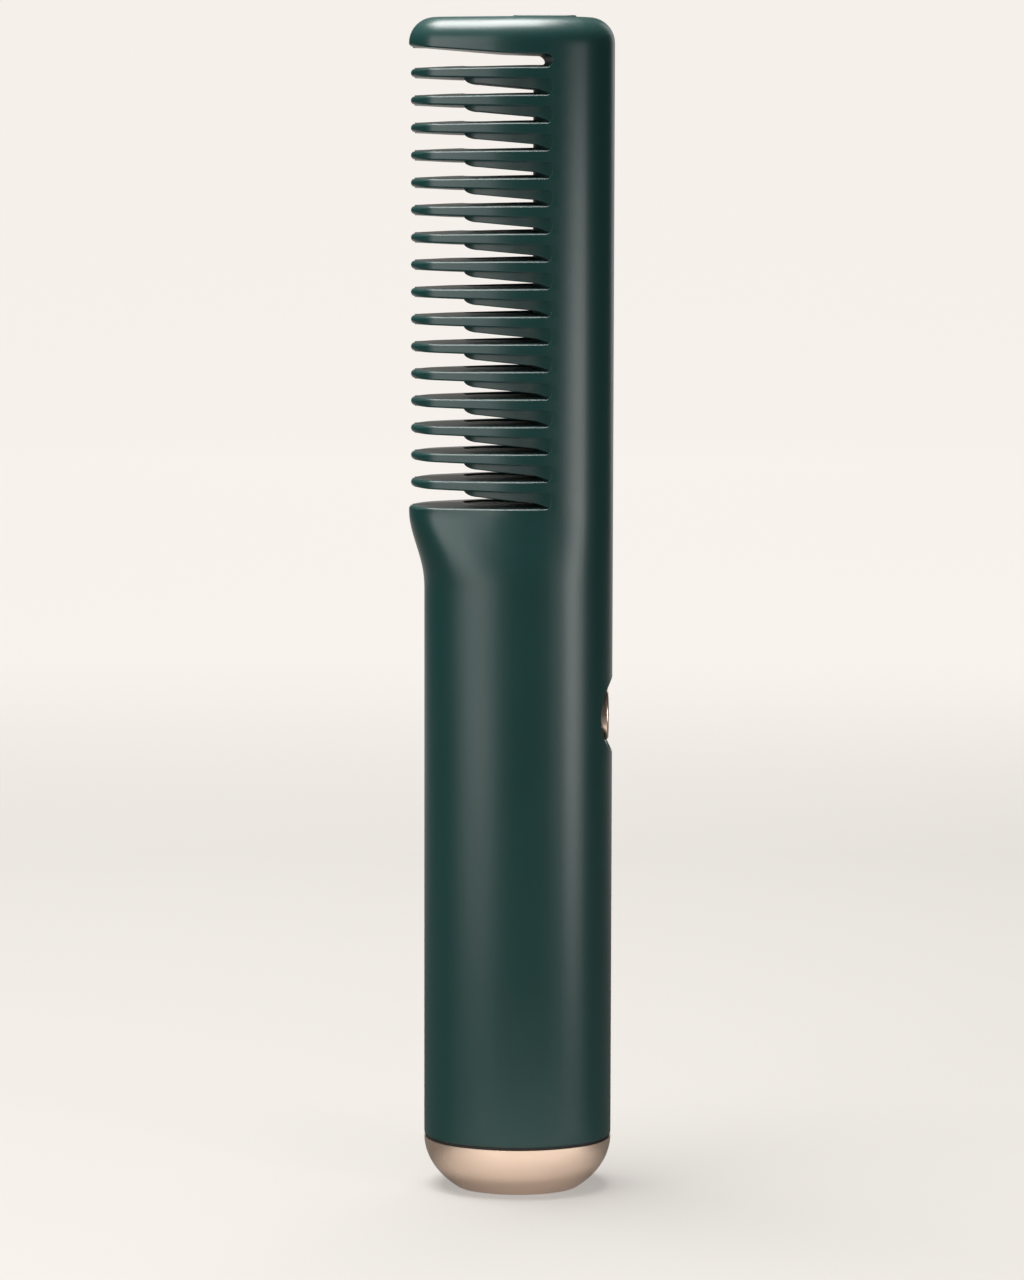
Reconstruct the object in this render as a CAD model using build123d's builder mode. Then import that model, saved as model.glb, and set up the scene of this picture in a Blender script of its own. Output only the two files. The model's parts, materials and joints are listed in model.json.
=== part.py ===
import math
import os

from build123d import *

# A cordless hot comb that stands on its end cap. Millimetres, +Z up.
# The origin is the centre of the cap's flat base, on the handle's axis.
# The comb teeth point to -X, the press key faces +X, and the front is -Y.

# Overall size
comb_height = 208.0            # flat base to the top face of the head
shoulder_run = 12.5            # the handle changes into the head over this height
seam_height = 9.05             # top rim of the end cap
ring_thickness = 0.55          # seal ring between the cap and the shells
ring_recess = 0.2              # how far the seal ring lies inside the outer skin
shell_wall = 1.8               # moulded wall of the two shells
seat_gap = 0.1                 # loose fit of one still piece inside another
running_gap = 0.08             # radial clearance of a piece that slides in a bore

# Handle oval: two end arcs joined by two flatter face arcs
handle_half_width = 16.7
handle_half_depth = 12.5
handle_end_radius = 11.0
handle_split_share = 0.33      # where the face arc is split to meet the head's flank

# Head section: a blunt nose, a straight flank, a face arc and a rounded spine
head_reach = 19.4              # nose tip to the handle's axis
head_nose_radius = 7.8
head_flank_angle = 19.0
head_flank_end = -6.0          # x where the flank turns into the face arc
head_face_radius = 22.0
head_flank_crown = 0.08        # bulge of the flank between its ends
head_top_round = 4.5           # rounding of the head's top edge
shoulder_steps = 6

# Comb teeth
tooth_count = 16
tooth_pitch = 4.79
top_bar_drop = 9.75            # head's top face to the centre of the first tooth
platform_depth = 4.5           # centre of the last slot to the end of the shoulder
# Half heights of a slot at its mouth, middle and root
skin_half_gaps = (1.68, 1.42, 1.36)        # at the outer skin
core_half_gaps = (1.5, 1.2, 0.71)          # in the seam plane
bar_skin_gaps = (2.2, 1.0, 0.75)           # upper half of the top slot, under the head's bar
bar_core_gaps = (1.95, 1.8, 0.65)
middle_reach = 3.0             # how far left of the axis the middle heights are taken
core_middle_reach = 12.5
tip_round = 0.6                # rounding of the tooth tips, above and below
slot_root = 5.7                # end of a slot at the outer skin
slot_root_inside = 3.9         # end of a slot at the heater core
slot_mouth = 23.0              # the cutter starts this far out, past the tips
slot_end_bulge = 0.9

# Heater core: an aluminium comb that lies in a pocket through the plastic teeth
fin_reach = 9.7                # rounded nose of the fins
fin_nose_radius = 4.3
fin_root_half_width = 5.0
fin_top_rise = 0.95            # fin top above its tooth's middle
fin_slot_root = 3.4
pocket_rise = 0.75             # the pocket's top above the core
fin_face_inset = 1.0           # the fins' faces behind the outer skin
fin_face_shift = 3.5           # and moved towards the spine, so that they come out flush at the root
fin_corner_round = 3.4         # plan rounding of the fins' front corners
fin_nose_drop = 1.1            # rounding under a fin's nose, down and along
fin_nose_run = 3.1
fin_low_start = 0.44           # fin underside above the slot's middle, behind the nose
fin_low_end = -0.42            # and at the inner end of the slot
fin_low_root = -1.3            # and at the slot's end in the outer skin
fin_gap = 0.04                 # between the fins and the slots' walls
core_back = 6.4                # back face of the core's spine
core_sink = 0.6                # the core's foot below the end of the shoulder
pocket_gap = 0.15              # between the core and the shells

# Heater stack behind the core, from the core towards the spine
film_thickness = 0.2
electrode_thickness = 0.4
stone_thickness = 1.8
stone_half_width = 4.0
stone_gap = 8.0
stack_rise = 6.6               # bottom of the stones above the core's foot
stack_end = 9.7                # top of the stones below the core's top
clip_thickness = 0.4
clip_spring = 0.6
holder_wall = 1.2
chamber_roof = 4.6             # thickness of the head's top wall
chamber_rise = 5.0             # the handle's cavity runs this far past the shoulder's start
holder_gap = 0.2               # the holder's top below the chamber's top

# Top plug and its screw
plug_centre = 4.35
plug_length = 11.1
plug_width = 7.0
plug_corner = 1.6
plug_proud = 0.3
plug_thickness = 1.5
screw_offset = 7.9             # screw axis from the handle's axis
screw_shank_radius = 1.1
screw_head_radius = 1.9
screw_head_height = 1.5
screw_length = 5.2

# Press key and its dish
key_drop = 21.9                # the key's axis below the shoulder's start
key_radius = 4.6
key_face = 16.0
key_flange_radius = 5.4
key_flange_thickness = 0.9
key_hollow_radius = 3.4
key_stem_radius = 1.6
key_edge_round = 0.45
key_travel = 0.5
dish_radius = 6.5
dish_floor = 14.6
dish_floor_thickness = 1.65
dish_boss_radius = 7.8

# Switch and main board
board_face = 8.0               # the board's outer face, where the switch stands
board_thickness = 1.0
board_half_width = 7.6
board_bottom = 32.0
board_drop = 3.0               # the board's top edge below the shoulder's start
switch_width = 6.0
switch_height = 3.0
plunger_radius = 1.6
plunger_sink = 0.7             # how deep the plunger stands in the switch at rest

# Battery: a standard 18650 cell
cell_radius = 9.25
cell_length = 65.2
cell_centre = -4.5
tab_thickness = 0.3
tab_width = 7.0
pad_thickness = 0.9

# Carrier that holds the cell and the board
carrier_floor_height = 17.6
carrier_plate = 1.6
carrier_spine_face = 5.05      # the spine's face beside the cell
carrier_spine_thickness = 1.4
carrier_gap = 0.3

# End cap, its insert and the charging socket
cap_dome_depth = 12.0          # depth of the ellipse that the cap's flank follows
cap_wall = 1.6
cap_base_round = 0.6
insert_plate = 2.0
insert_skirt = 6.0
insert_wall = 1.2
socket_width = 8.94
socket_depth = 3.26
socket_length = 7.3
socket_wall = 0.3
socket_sink = 0.7              # socket mouth above the flat base
socket_clearance = 0.15
charge_board_width = 15.0
charge_board_top = 16.6
cap_screw_offset = 10.6
cap_screw_radius = 0.95
cap_screw_head_radius = 1.8
cap_screw_head_height = 1.2
cap_screw_length = 9.0
boss_wall = 1.0

# Wires
lead_radius = 0.6

# Worked out from the sizes above
shell_bottom = seam_height + ring_thickness
first_tooth_height = comb_height - top_bar_drop
last_slot_height = first_tooth_height + tooth_pitch / 2 - tooth_count * tooth_pitch
shoulder_end = last_slot_height - platform_depth
shoulder_start = shoulder_end - shoulder_run
cavity_top = shoulder_start + chamber_rise
chamber_top = comb_height - chamber_roof
key_height = shoulder_start - key_drop
board_top = shoulder_start - board_drop
core_foot = shoulder_end - core_sink
holder_foot = cavity_top
holder_top = chamber_top - holder_gap
head_tilt = math.radians(head_flank_angle)
handle_end_centre = handle_half_width - handle_end_radius
handle_face_radius = (handle_end_centre**2 + handle_half_depth**2 - handle_end_radius**2) / (
    2 * (handle_half_depth - handle_end_radius)
)
handle_face_drop = handle_face_radius - handle_half_depth
slot_levels = [last_slot_height + index * tooth_pitch for index in range(tooth_count + 1)]
core_top = first_tooth_height + fin_top_rise
stack_bottom = core_foot + stack_rise
stack_top = core_top - stack_end
stone_length = (stack_top - stack_bottom - stone_gap) / 2
stack_thickness = 2 * film_thickness + 2 * electrode_thickness + stone_thickness
film_back = core_back + stack_thickness
clip_back = film_back + clip_thickness + clip_spring
holder_back = clip_back + holder_wall
carrier_spine_back = carrier_spine_face + carrier_spine_thickness
cell_bottom = carrier_floor_height + carrier_plate + tab_thickness
cell_top = cell_bottom + cell_length
ceiling_height = cell_top + tab_thickness + pad_thickness
key_back = dish_floor - dish_floor_thickness - running_gap - key_flange_thickness
switch_top = board_face + switch_height


def polar(centre, radius, angle):
    """Point on a circle and the outward direction there."""
    direction = (math.cos(angle), math.sin(angle))
    point = (centre[0] + radius * direction[0], centre[1] + radius * direction[1])
    return point, direction


def arc_samples(centre, radius, start, end):
    """Start and middle of an arc; its end is the next arc's start."""
    return [polar(centre, radius, start), polar(centre, radius, (start + end) / 2)]


def handle_samples():
    """Half of the handle's oval, from its left tip to its right tip."""
    join = math.atan2(handle_face_drop, -handle_end_centre)
    split = join + handle_split_share * (math.pi - 2 * join)
    face_centre = (0.0, -handle_face_drop)
    samples = arc_samples((-handle_end_centre, 0.0), handle_end_radius, math.pi, join)
    samples += arc_samples(face_centre, handle_face_radius, join, split)
    samples += arc_samples(face_centre, handle_face_radius, split, math.pi - join)
    samples += arc_samples((handle_end_centre, 0.0), handle_end_radius, math.pi - join, 0.0)
    samples.append(polar((handle_end_centre, 0.0), handle_end_radius, 0.0))
    return samples


def head_samples():
    """Half of the head's outline, from the nose tip to the spine."""
    normal = math.pi / 2 + head_tilt
    nose_centre = (head_nose_radius - head_reach, 0.0)
    flank_start, direction = polar(nose_centre, head_nose_radius, normal)
    flank_run = head_flank_end - flank_start[0]
    flank_end = (head_flank_end, flank_start[1] + flank_run * math.tan(head_tilt))
    crown = (
        (flank_start[0] + flank_end[0]) / 2 + head_flank_crown * direction[0],
        (flank_start[1] + flank_end[1]) / 2 + head_flank_crown * direction[1],
    )
    face_centre = (
        flank_end[0] - head_face_radius * direction[0],
        flank_end[1] - head_face_radius * direction[1],
    )
    spine_run = handle_half_width - face_centre[0]
    spine_square = head_face_radius**2 - spine_run**2 - face_centre[1] ** 2
    spine_radius = spine_square / (2 * (head_face_radius - spine_run))
    spine_centre = (handle_half_width - spine_radius, 0.0)
    join = math.atan2(-face_centre[1], spine_centre[0] - face_centre[0])
    samples = arc_samples(nose_centre, head_nose_radius, math.pi, normal)
    samples += [(flank_start, direction), (crown, direction)]
    samples += arc_samples(face_centre, head_face_radius, normal, join)
    samples += arc_samples(spine_centre, spine_radius, join, 0.0)
    samples.append(polar(spine_centre, spine_radius, 0.0))
    return samples


def outline_points(blend, inset):
    """Half outline between the handle (blend 0) and the head (blend 1), moved in by inset."""
    points = []
    for (low, low_normal), (high, high_normal) in zip(handle_samples(), head_samples()):
        low_point = Vector(*low) - Vector(*low_normal) * inset
        high_point = Vector(*high) - Vector(*high_normal) * inset
        points.append(low_point * (1 - blend) + high_point * blend)
    return points


def half_outline(side, blend=0.0, inset=0.0):
    """Closed half outline on the chosen side of the seam plane, as a face."""
    points = [(point.X, side * point.Y) for point in outline_points(blend, inset)]
    with BuildLine() as outline:
        for start in range(0, len(points) - 1, 2):
            ThreePointArc(points[start], points[start + 1], points[start + 2])
        Line(points[-1], points[0])
    make_face(outline.edges())


def whole_oval(inset=0.0):
    """The handle's whole oval, moved in by inset."""
    half_outline(1, 0.0, inset)
    mirror(about=Plane.XZ)


def ring_plate(height, thickness, inset):
    """A flat plate with the handle's outline, moved in by inset."""
    with BuildSketch(Plane.XY.offset(height)) as plate:
        whole_oval(inset)
    extrude(plate.sketch, amount=thickness)


def upright_plate(face, thickness, half_width, bottom, top, mode=Mode.ADD):
    """A flat plate across the handle, from its left face outwards to the right."""
    with BuildSketch(Plane.YZ.offset(face)) as plate:
        with Locations((0, (bottom + top) / 2)):
            Rectangle(2 * half_width, top - bottom)
    extrude(plate.sketch, amount=thickness, mode=mode)


def round_bar(centre, radius, bottom, top, mode=Mode.ADD):
    """A round bar that stands upright."""
    with BuildSketch(Plane.XY.offset(bottom)) as bar:
        with Locations(centre):
            Circle(radius)
    extrude(bar.sketch, amount=top - bottom, mode=mode)


def key_disc(start, radius, end, mode=Mode.ADD):
    """A disc on the press key's axis, from start to end along X."""
    with BuildSketch(Plane.YZ.offset(start)) as disc:
        with Locations((0, key_height)):
            Circle(radius)
    extrude(disc.sketch, amount=end - start, mode=mode)


def lead(points, radius, bend):
    """A wire of straight runs joined by tangent arcs."""
    with BuildLine() as route:
        FilletPolyline(*points, radius=bend)
    with BuildSketch(Plane(route.line @ 0, z_dir=route.line % 0)) as section:
        Circle(radius)
    sweep(section.sketch, path=route.line)


def smooth_step(share):
    """Eases from 0 to 1 with level ends."""
    return share * share * (3 - 2 * share)


def slot_outline(upper, lower, middle_x, root_x):
    """One slot between two teeth, seen from the front: flared round the tips, round at the root."""
    root_start = root_x - slot_end_bulge
    tip_start = -head_reach + tip_round
    arc_x = tip_start - tip_round * math.sin(math.pi / 4)
    arc_rise = tip_round * (1 - math.cos(math.pi / 4))
    with BuildLine() as outline:
        for side, (tip, middle, root) in ((1, upper), (-1, lower)):
            flare = side * (tip + tip_round)
            Polyline((root_start, side * root), (-middle_x, side * middle), (tip_start, side * tip))
            ThreePointArc(
                (tip_start, side * tip), (arc_x, side * (tip + arc_rise)), (-head_reach, flare)
            )
            Line((-head_reach, flare), (-slot_mouth, flare))
        Line((-slot_mouth, upper[0] + tip_round), (-slot_mouth, -lower[0] - tip_round))
        ThreePointArc(
            (root_start, upper[2]), (root_x, (upper[2] - lower[2]) / 2), (root_start, -lower[2])
        )
    make_face(outline.edges())


def slot_half(side, skin_upper, core_upper, gap=0.0):
    """Solid of one slot on one side of the seam plane, made smaller by a gap all round."""
    skin_lower = skin_half_gaps
    core_lower = core_half_gaps
    with BuildPart() as slot:
        with BuildSketch(Plane.XZ.offset(-side * handle_half_depth)):
            slot_outline(
                [height - gap for height in skin_upper],
                [height - gap for height in skin_lower],
                middle_reach,
                slot_root - gap,
            )
        with BuildSketch(Plane.XZ):
            slot_outline(
                [height - gap for height in core_upper],
                [height - gap for height in core_lower],
                core_middle_reach,
                slot_root_inside - gap,
            )
        loft(ruled=True)
    return slot.part


def core_outline(gap):
    """Plan shape of the fins and the core's spine, with a gap all round."""
    nose_centre = fin_nose_radius - fin_reach
    nose_radius = fin_nose_radius + gap
    half_width = fin_root_half_width + gap
    with BuildLine() as outline:
        Line((nose_centre, -nose_radius), (slot_root_inside, -half_width))
        Line((slot_root_inside, -half_width), (core_back + gap, -half_width))
        Line((core_back + gap, -half_width), (core_back + gap, half_width))
        Line((core_back + gap, half_width), (slot_root_inside, half_width))
        Line((slot_root_inside, half_width), (nose_centre, nose_radius))
        ThreePointArc(
            (nose_centre, nose_radius), (nose_centre - nose_radius, 0), (nose_centre, -nose_radius)
        )
    make_face(outline.edges())


os.makedirs("parts", exist_ok=True)

# Cavity of the handle, with an island left for the floor of the key's dish
with BuildPart() as handle_cavity:
    with BuildSketch(Plane.XY.offset(shell_bottom - 1)):
        whole_oval(shell_wall)
    extrude(amount=cavity_top - shell_bottom + 1)
    with BuildSketch(Plane.YZ.offset(dish_floor - dish_floor_thickness)):
        with Locations((0, key_height)):
            Circle(dish_boss_radius)
    extrude(amount=dish_boss_radius, mode=Mode.SUBTRACT)

# Chamber behind the slots, for the heater stack and its holder
chamber_start = slot_root + shell_wall
channel_half_width = fin_root_half_width + 2 * pocket_gap + holder_wall
channel_start = core_back - 0.6
with BuildPart() as head_chamber:
    with BuildSketch(Plane.XY.offset(cavity_top - 1)):
        half_outline(1, 1.0, shell_wall)
        mirror(about=Plane.XZ)
        with Locations((chamber_start, 0)):
            Rectangle(
                handle_half_width,
                2 * handle_half_depth,
                align=(Align.MIN, Align.CENTER),
                mode=Mode.INTERSECT,
            )
        with Locations((channel_start, 0)):
            Rectangle(chamber_start, 2 * channel_half_width, align=(Align.MIN, Align.CENTER))
        split(bisect_by=Plane.YZ.offset(handle_half_width - shell_wall), keep=Keep.BOTTOM)
    extrude(amount=chamber_top - cavity_top + 1)

# Pocket through the teeth, for the heater core
with BuildPart() as core_pocket:
    with BuildSketch(Plane.XY.offset(core_foot - pocket_gap)):
        core_outline(pocket_gap)
    extrude(amount=core_top + pocket_rise + pocket_gap - core_foot)

# Recess of the top plug with the screw's seat under it
plug_floor = comb_height + plug_proud - plug_thickness
screw_seat = plug_floor - screw_head_height - 0.3
with BuildPart() as plug_recess:
    with BuildSketch(Plane.XY.offset(plug_floor)):
        with Locations((plug_centre, 0)):
            RectangleRounded(plug_length + 2 * seat_gap, plug_width + 2 * seat_gap, plug_corner)
    extrude(amount=plug_thickness)
    with BuildSketch(Plane.XY.offset(screw_seat)):
        with Locations((screw_offset, 0)):
            Circle(screw_head_radius + seat_gap)
    extrude(amount=plug_floor - screw_seat)
    with BuildSketch(Plane.XY.offset(chamber_top - 1)):
        with Locations((screw_offset, 0)):
            Circle(screw_shank_radius + seat_gap)
    extrude(amount=screw_seat - chamber_top + 1)


def comb_shell(side):
    """One moulded half of the housing, with its half of every tooth."""
    slot = slot_half(side, skin_half_gaps, core_half_gaps)
    top_slot = slot_half(side, bar_skin_gaps, bar_core_gaps)
    with BuildPart() as shell:
        with BuildSketch(Plane.XY.offset(shell_bottom)):
            half_outline(side)
        extrude(amount=shoulder_start - shell_bottom)
        for step in range(shoulder_steps + 1):
            share = step / shoulder_steps
            level = shoulder_start + share * (shoulder_end - shoulder_start)
            with BuildSketch(Plane.XY.offset(level)):
                half_outline(side, smooth_step(share))
        loft()
        with BuildSketch(Plane.XY.offset(shoulder_end)):
            half_outline(side, 1.0)
        extrude(amount=comb_height - shoulder_end)
        top_edges = shell.faces().sort_by(Axis.Z)[-1].edges().filter_by(GeomType.CIRCLE)
        fillet(top_edges, radius=head_top_round)
        add(handle_cavity.part, mode=Mode.SUBTRACT)
        add(head_chamber.part, mode=Mode.SUBTRACT)
        add(core_pocket.part, mode=Mode.SUBTRACT)
        add(plug_recess.part, mode=Mode.SUBTRACT)
        with Locations([(0, 0, level) for level in slot_levels[:-1]]):
            add(slot, mode=Mode.SUBTRACT)
        with Locations((0, 0, slot_levels[-1])):
            add(top_slot, mode=Mode.SUBTRACT)
        with BuildSketch(Plane.YZ.offset(dish_floor)):
            with Locations((0, key_height)):
                Circle(dish_radius)
        extrude(amount=dish_radius, mode=Mode.SUBTRACT)
        with BuildSketch(Plane.YZ.offset(dish_floor - dish_boss_radius)):
            with Locations((0, key_height)):
                Circle(key_radius + running_gap)
        extrude(amount=2 * dish_boss_radius, mode=Mode.SUBTRACT)
    return shell.part


front_shell = comb_shell(-1)
front_shell.label = "front_shell"
export_step(front_shell, "parts/front_shell.step")
rear_shell = comb_shell(1)
rear_shell.label = "rear_shell"
export_step(rear_shell, "parts/rear_shell.step")

# Cover plug on the top face
with BuildPart() as top_plug:
    with BuildSketch(Plane.XY.offset(plug_floor)):
        with Locations((plug_centre, 0)):
            RectangleRounded(plug_length, plug_width, plug_corner)
    extrude(amount=plug_thickness)
    fillet(top_plug.faces().sort_by(Axis.Z)[-1].edges(), radius=plug_proud * 0.8)

# Screw that ties both shells to the heater holder
with BuildPart() as top_screw:
    with BuildSketch(Plane.XY.offset(screw_seat)):
        with Locations((screw_offset, 0)):
            Circle(screw_head_radius)
    extrude(amount=screw_head_height)
    with BuildSketch(Plane.XY.offset(screw_seat)):
        with Locations((screw_offset, 0)):
            Circle(screw_shank_radius)
    extrude(amount=-screw_length)
    head_top = top_screw.faces().sort_by(Axis.Z)[-1]
    with BuildSketch(head_top):
        Rectangle(0.5, 2.2)
        Rectangle(2.2, 0.5)
    extrude(amount=-0.8, mode=Mode.SUBTRACT)

# Underside of a fin, from its nose to the slot's end, with the slot's middle at height 0
fin_flat_start = fin_nose_run - fin_reach
fin_nose_low = fin_low_start + fin_nose_drop
fin_reach_low = -tooth_pitch / 2
with BuildPart() as fin_underside:
    with BuildSketch(Plane.XZ.offset(-handle_half_depth)):
        with BuildLine():
            EllipticalCenterArc(
                (fin_flat_start, fin_nose_low), fin_nose_run, fin_nose_drop, start_angle=180, arc_size=90
            )
            Polyline(
                (fin_flat_start, fin_low_start),
                (slot_root_inside - slot_end_bulge, fin_low_end),
                (slot_root, fin_low_root),
                (slot_root, fin_reach_low),
                (-slot_mouth, fin_reach_low),
                (-slot_mouth, fin_nose_low),
                (-fin_reach, fin_nose_low),
            )
        make_face()
    extrude(amount=2 * handle_half_depth)

# Wide foot of a fin, which fills the upper part of the slot under its tooth
with BuildPart() as fin_foot:
    with BuildSketch(Plane((fin_face_shift, 0, fin_reach_low))):
        half_outline(1, 1.0, fin_face_inset)
        mirror(about=Plane.XZ)
        with Locations((-fin_reach - fin_face_shift, 0)):
            Rectangle(
                fin_reach + slot_root,
                2 * handle_half_depth,
                align=(Align.MIN, Align.CENTER),
                mode=Mode.INTERSECT,
            )
    extrude(amount=tooth_pitch)
    nose_edges = fin_foot.edges().filter_by(Axis.Z).group_by(Axis.X)[0]
    fillet(nose_edges, radius=fin_corner_round)
    with BuildPart(mode=Mode.INTERSECT):
        add(slot_half(-1, skin_half_gaps, core_half_gaps, fin_gap))
        add(slot_half(1, skin_half_gaps, core_half_gaps, fin_gap))
    add(fin_underside.part, mode=Mode.SUBTRACT)

# Heater core: finned aluminium comb with one spine
with BuildPart() as heater_core:
    with BuildSketch(Plane.XY.offset(core_foot)):
        core_outline(0.0)
    extrude(amount=core_top - core_foot)
    for level in slot_levels[:-1]:
        gap_low = level - tooth_pitch / 2 + fin_top_rise
        gap_high = level + fin_low_end
        gap_round = (gap_high - gap_low) / 2
        with BuildSketch(Plane.XZ.offset(-handle_half_depth)):
            with BuildLine():
                Line((-slot_mouth, gap_low), (fin_slot_root - gap_round, gap_low))
                ThreePointArc(
                    (fin_slot_root - gap_round, gap_low),
                    (fin_slot_root, gap_low + gap_round),
                    (fin_slot_root - gap_round, gap_high),
                )
                Line((fin_slot_root - gap_round, gap_high), (fin_flat_start, level + fin_low_start))
                EllipticalCenterArc(
                    (fin_flat_start, level + fin_nose_low),
                    fin_nose_run,
                    fin_nose_drop,
                    start_angle=180,
                    arc_size=90,
                )
                Line((-fin_reach, level + fin_nose_low), (-slot_mouth, level + fin_nose_low))
                Line((-slot_mouth, level + fin_nose_low), (-slot_mouth, gap_low))
            make_face()
        extrude(amount=2 * handle_half_depth, mode=Mode.SUBTRACT)
    with Locations([(0, 0, level) for level in slot_levels[:-1]]):
        add(fin_foot.part)

# Ceramic heating stones, their electrodes and the film round them
stone_face = core_back + film_thickness + electrode_thickness
electrode_end = 1.0            # the electrodes pass the stones by this
tab_half_width = 1.2
tab_foot = core_foot + 0.6
with BuildPart() as heating_stones:
    for bottom in (stack_bottom, stack_bottom + stone_length + stone_gap):
        upright_plate(stone_face, stone_thickness, stone_half_width, bottom, bottom + stone_length)

with BuildPart() as electrode_plates:
    for face in (stone_face - electrode_thickness, stone_face + stone_thickness):
        upright_plate(
            face,
            electrode_thickness,
            stone_half_width,
            stack_bottom - electrode_end,
            stack_top + electrode_end,
        )
        upright_plate(face, electrode_thickness, tab_half_width, tab_foot, stack_bottom)

film_bottom = stack_bottom - electrode_end
film_top = stack_top + electrode_end
film_half_width = stone_half_width + film_thickness
with BuildPart() as insulating_film:
    upright_plate(core_back, stack_thickness, film_half_width, film_bottom, film_top)
    upright_plate(
        core_back + film_thickness,
        stack_thickness - 2 * film_thickness,
        stone_half_width,
        film_bottom,
        film_top,
        mode=Mode.SUBTRACT,
    )

# Sprung steel clip that presses the stack against the core
clip_half_width = 3.6
clip_rib = 3.0
clip_ribs = 4
clip_run = (stack_top - stack_bottom) / clip_ribs
with BuildPart() as heater_clip:
    upright_plate(film_back, clip_thickness, clip_half_width, stack_bottom, stack_top)
    for index in range(clip_ribs):
        rib_middle = stack_bottom + (index + 0.5) * clip_run
        upright_plate(
            film_back + clip_thickness,
            clip_spring,
            clip_half_width,
            rib_middle - clip_rib / 2,
            rib_middle + clip_rib / 2,
        )

# Heat-proof holder: a channel that clasps the core and takes the top screw
cheek_inside = fin_root_half_width + pocket_gap
cheek_outside = cheek_inside + holder_wall
holder_start = channel_start + pocket_gap
holder_corner = 0.8
boss_bottom = core_top + pocket_gap
with BuildPart() as core_holder:
    with BuildSketch(Plane.XY.offset(holder_foot)):
        with Locations((holder_start, 0)):
            Rectangle(holder_back - holder_start, 2 * cheek_outside, align=(Align.MIN, Align.CENTER))
        with Locations((holder_start, 0)):
            Rectangle(
                clip_back - holder_start,
                2 * cheek_inside,
                align=(Align.MIN, Align.CENTER),
                mode=Mode.SUBTRACT,
            )
    extrude(amount=holder_top - holder_foot)
    outer_corners = core_holder.edges().filter_by(Axis.Z).group_by(Axis.X)[-1]
    chamfer(outer_corners, length=holder_corner)
    with BuildSketch(Plane.XY.offset(boss_bottom)):
        with Locations((holder_start, 0)):
            Rectangle(clip_back - holder_start, 2 * cheek_inside, align=(Align.MIN, Align.CENTER))
    extrude(amount=holder_top - boss_bottom)
    round_bar((screw_offset, 0), screw_shank_radius, boss_bottom, holder_top, mode=Mode.SUBTRACT)

# Thermistor and thermal fuse on the core's spine
sensor_offset = 3.2
sensor_foot = core_foot + 0.5
thermistor_radius = 0.9
thermistor_length = 4.0
fuse_radius = 1.2
fuse_length = 4.6
sensor_seat = 0.03
with BuildPart() as thermistor:
    round_bar(
        (core_back + thermistor_radius + sensor_seat, sensor_offset),
        thermistor_radius,
        sensor_foot,
        sensor_foot + thermistor_length,
    )
with BuildPart() as thermal_fuse:
    round_bar(
        (core_back + fuse_radius + sensor_seat, -sensor_offset),
        fuse_radius,
        sensor_foot,
        sensor_foot + fuse_length,
    )

# Carrier: floor, ceiling and spine that hold the cell and the board
carrier_inset = shell_wall + carrier_gap
board_back = board_face - board_thickness
rib_half_width = 7.0
rib_height = 2.0
rib_end_gap = 6.0
rib_levels = (
    board_bottom + rib_end_gap,
    cell_bottom + cell_length / 2,
    board_top - rib_end_gap,
)
spine_half_width = 8.0
tab_slot_gap = 0.1
tab_end = carrier_spine_back + 0.05
wire_hole_radius = 0.9
rear_wire = (8.9, 4.0)
front_wire = (8.4, -3.6)
floor_top = carrier_floor_height + carrier_plate
tab_levels = (floor_top, cell_top)
with BuildPart() as battery_carrier:
    ring_plate(carrier_floor_height, carrier_plate, carrier_inset)
    with BuildSketch(Plane.XY.offset(ceiling_height)):
        whole_oval(carrier_inset)
        with Locations((carrier_spine_back, 0)):
            Rectangle(
                2 * handle_half_width,
            2 * handle_half_depth,
            align=(Align.MAX, Align.CENTER),
            mode=Mode.INTERSECT,
            )
    extrude(amount=carrier_plate)
    upright_plate(
        carrier_spine_face, carrier_spine_thickness, spine_half_width, carrier_floor_height, holder_foot
    )
    for level in rib_levels:
        upright_plate(
            carrier_spine_back, board_back - carrier_spine_back, rib_half_width, level, level + rib_height
        )
    for offset_x in (-cap_screw_offset, cap_screw_offset):
        round_bar((offset_x, 0), cap_screw_radius + boss_wall, seam_height, carrier_floor_height)
        round_bar(
            (offset_x, 0), cap_screw_radius, seam_height, carrier_floor_height, mode=Mode.SUBTRACT
        )
    for level in tab_levels:
        upright_plate(
            carrier_spine_face,
            carrier_spine_thickness,
            tab_width / 2 + tab_slot_gap,
            level,
            level + tab_thickness + tab_slot_gap,
            mode=Mode.SUBTRACT,
        )
    for hole in (rear_wire, front_wire):
        round_bar(hole, wire_hole_radius, carrier_floor_height, floor_top, mode=Mode.SUBTRACT)

# Battery cell with its two welded tabs and a foam pad over it
positive_radius = 2.9
cell_crimp = 0.6
with BuildPart() as battery_cell:
    round_bar((cell_centre, 0), cell_radius, cell_bottom, cell_top - cell_crimp)
    fillet(battery_cell.edges().filter_by(GeomType.CIRCLE), radius=cell_crimp)
    round_bar((cell_centre, 0), positive_radius, cell_top - cell_crimp, cell_top)

tab_start = cell_centre - 4.0
tab_rise = 16.0                # the negative tab reaches up to the board's foot
positive_tab_drop = 4.0


def battery_tab(level, rise):
    """A flat strip on one end of the cell, bent along the board's back."""
    with BuildSketch(Plane.XY.offset(level)) as strip:
        with Locations((tab_start, 0)):
            Rectangle(tab_end + tab_thickness - tab_start, tab_width, align=(Align.MIN, Align.CENTER))
    extrude(strip.sketch, amount=tab_thickness)
    low = min(level, level + rise)
    high = max(level + tab_thickness, level + rise)
    upright_plate(tab_end, tab_thickness, tab_width / 2, low, high)


with BuildPart() as negative_tab:
    battery_tab(floor_top, tab_rise)
with BuildPart() as positive_tab:
    battery_tab(cell_top, -positive_tab_drop)

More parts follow.
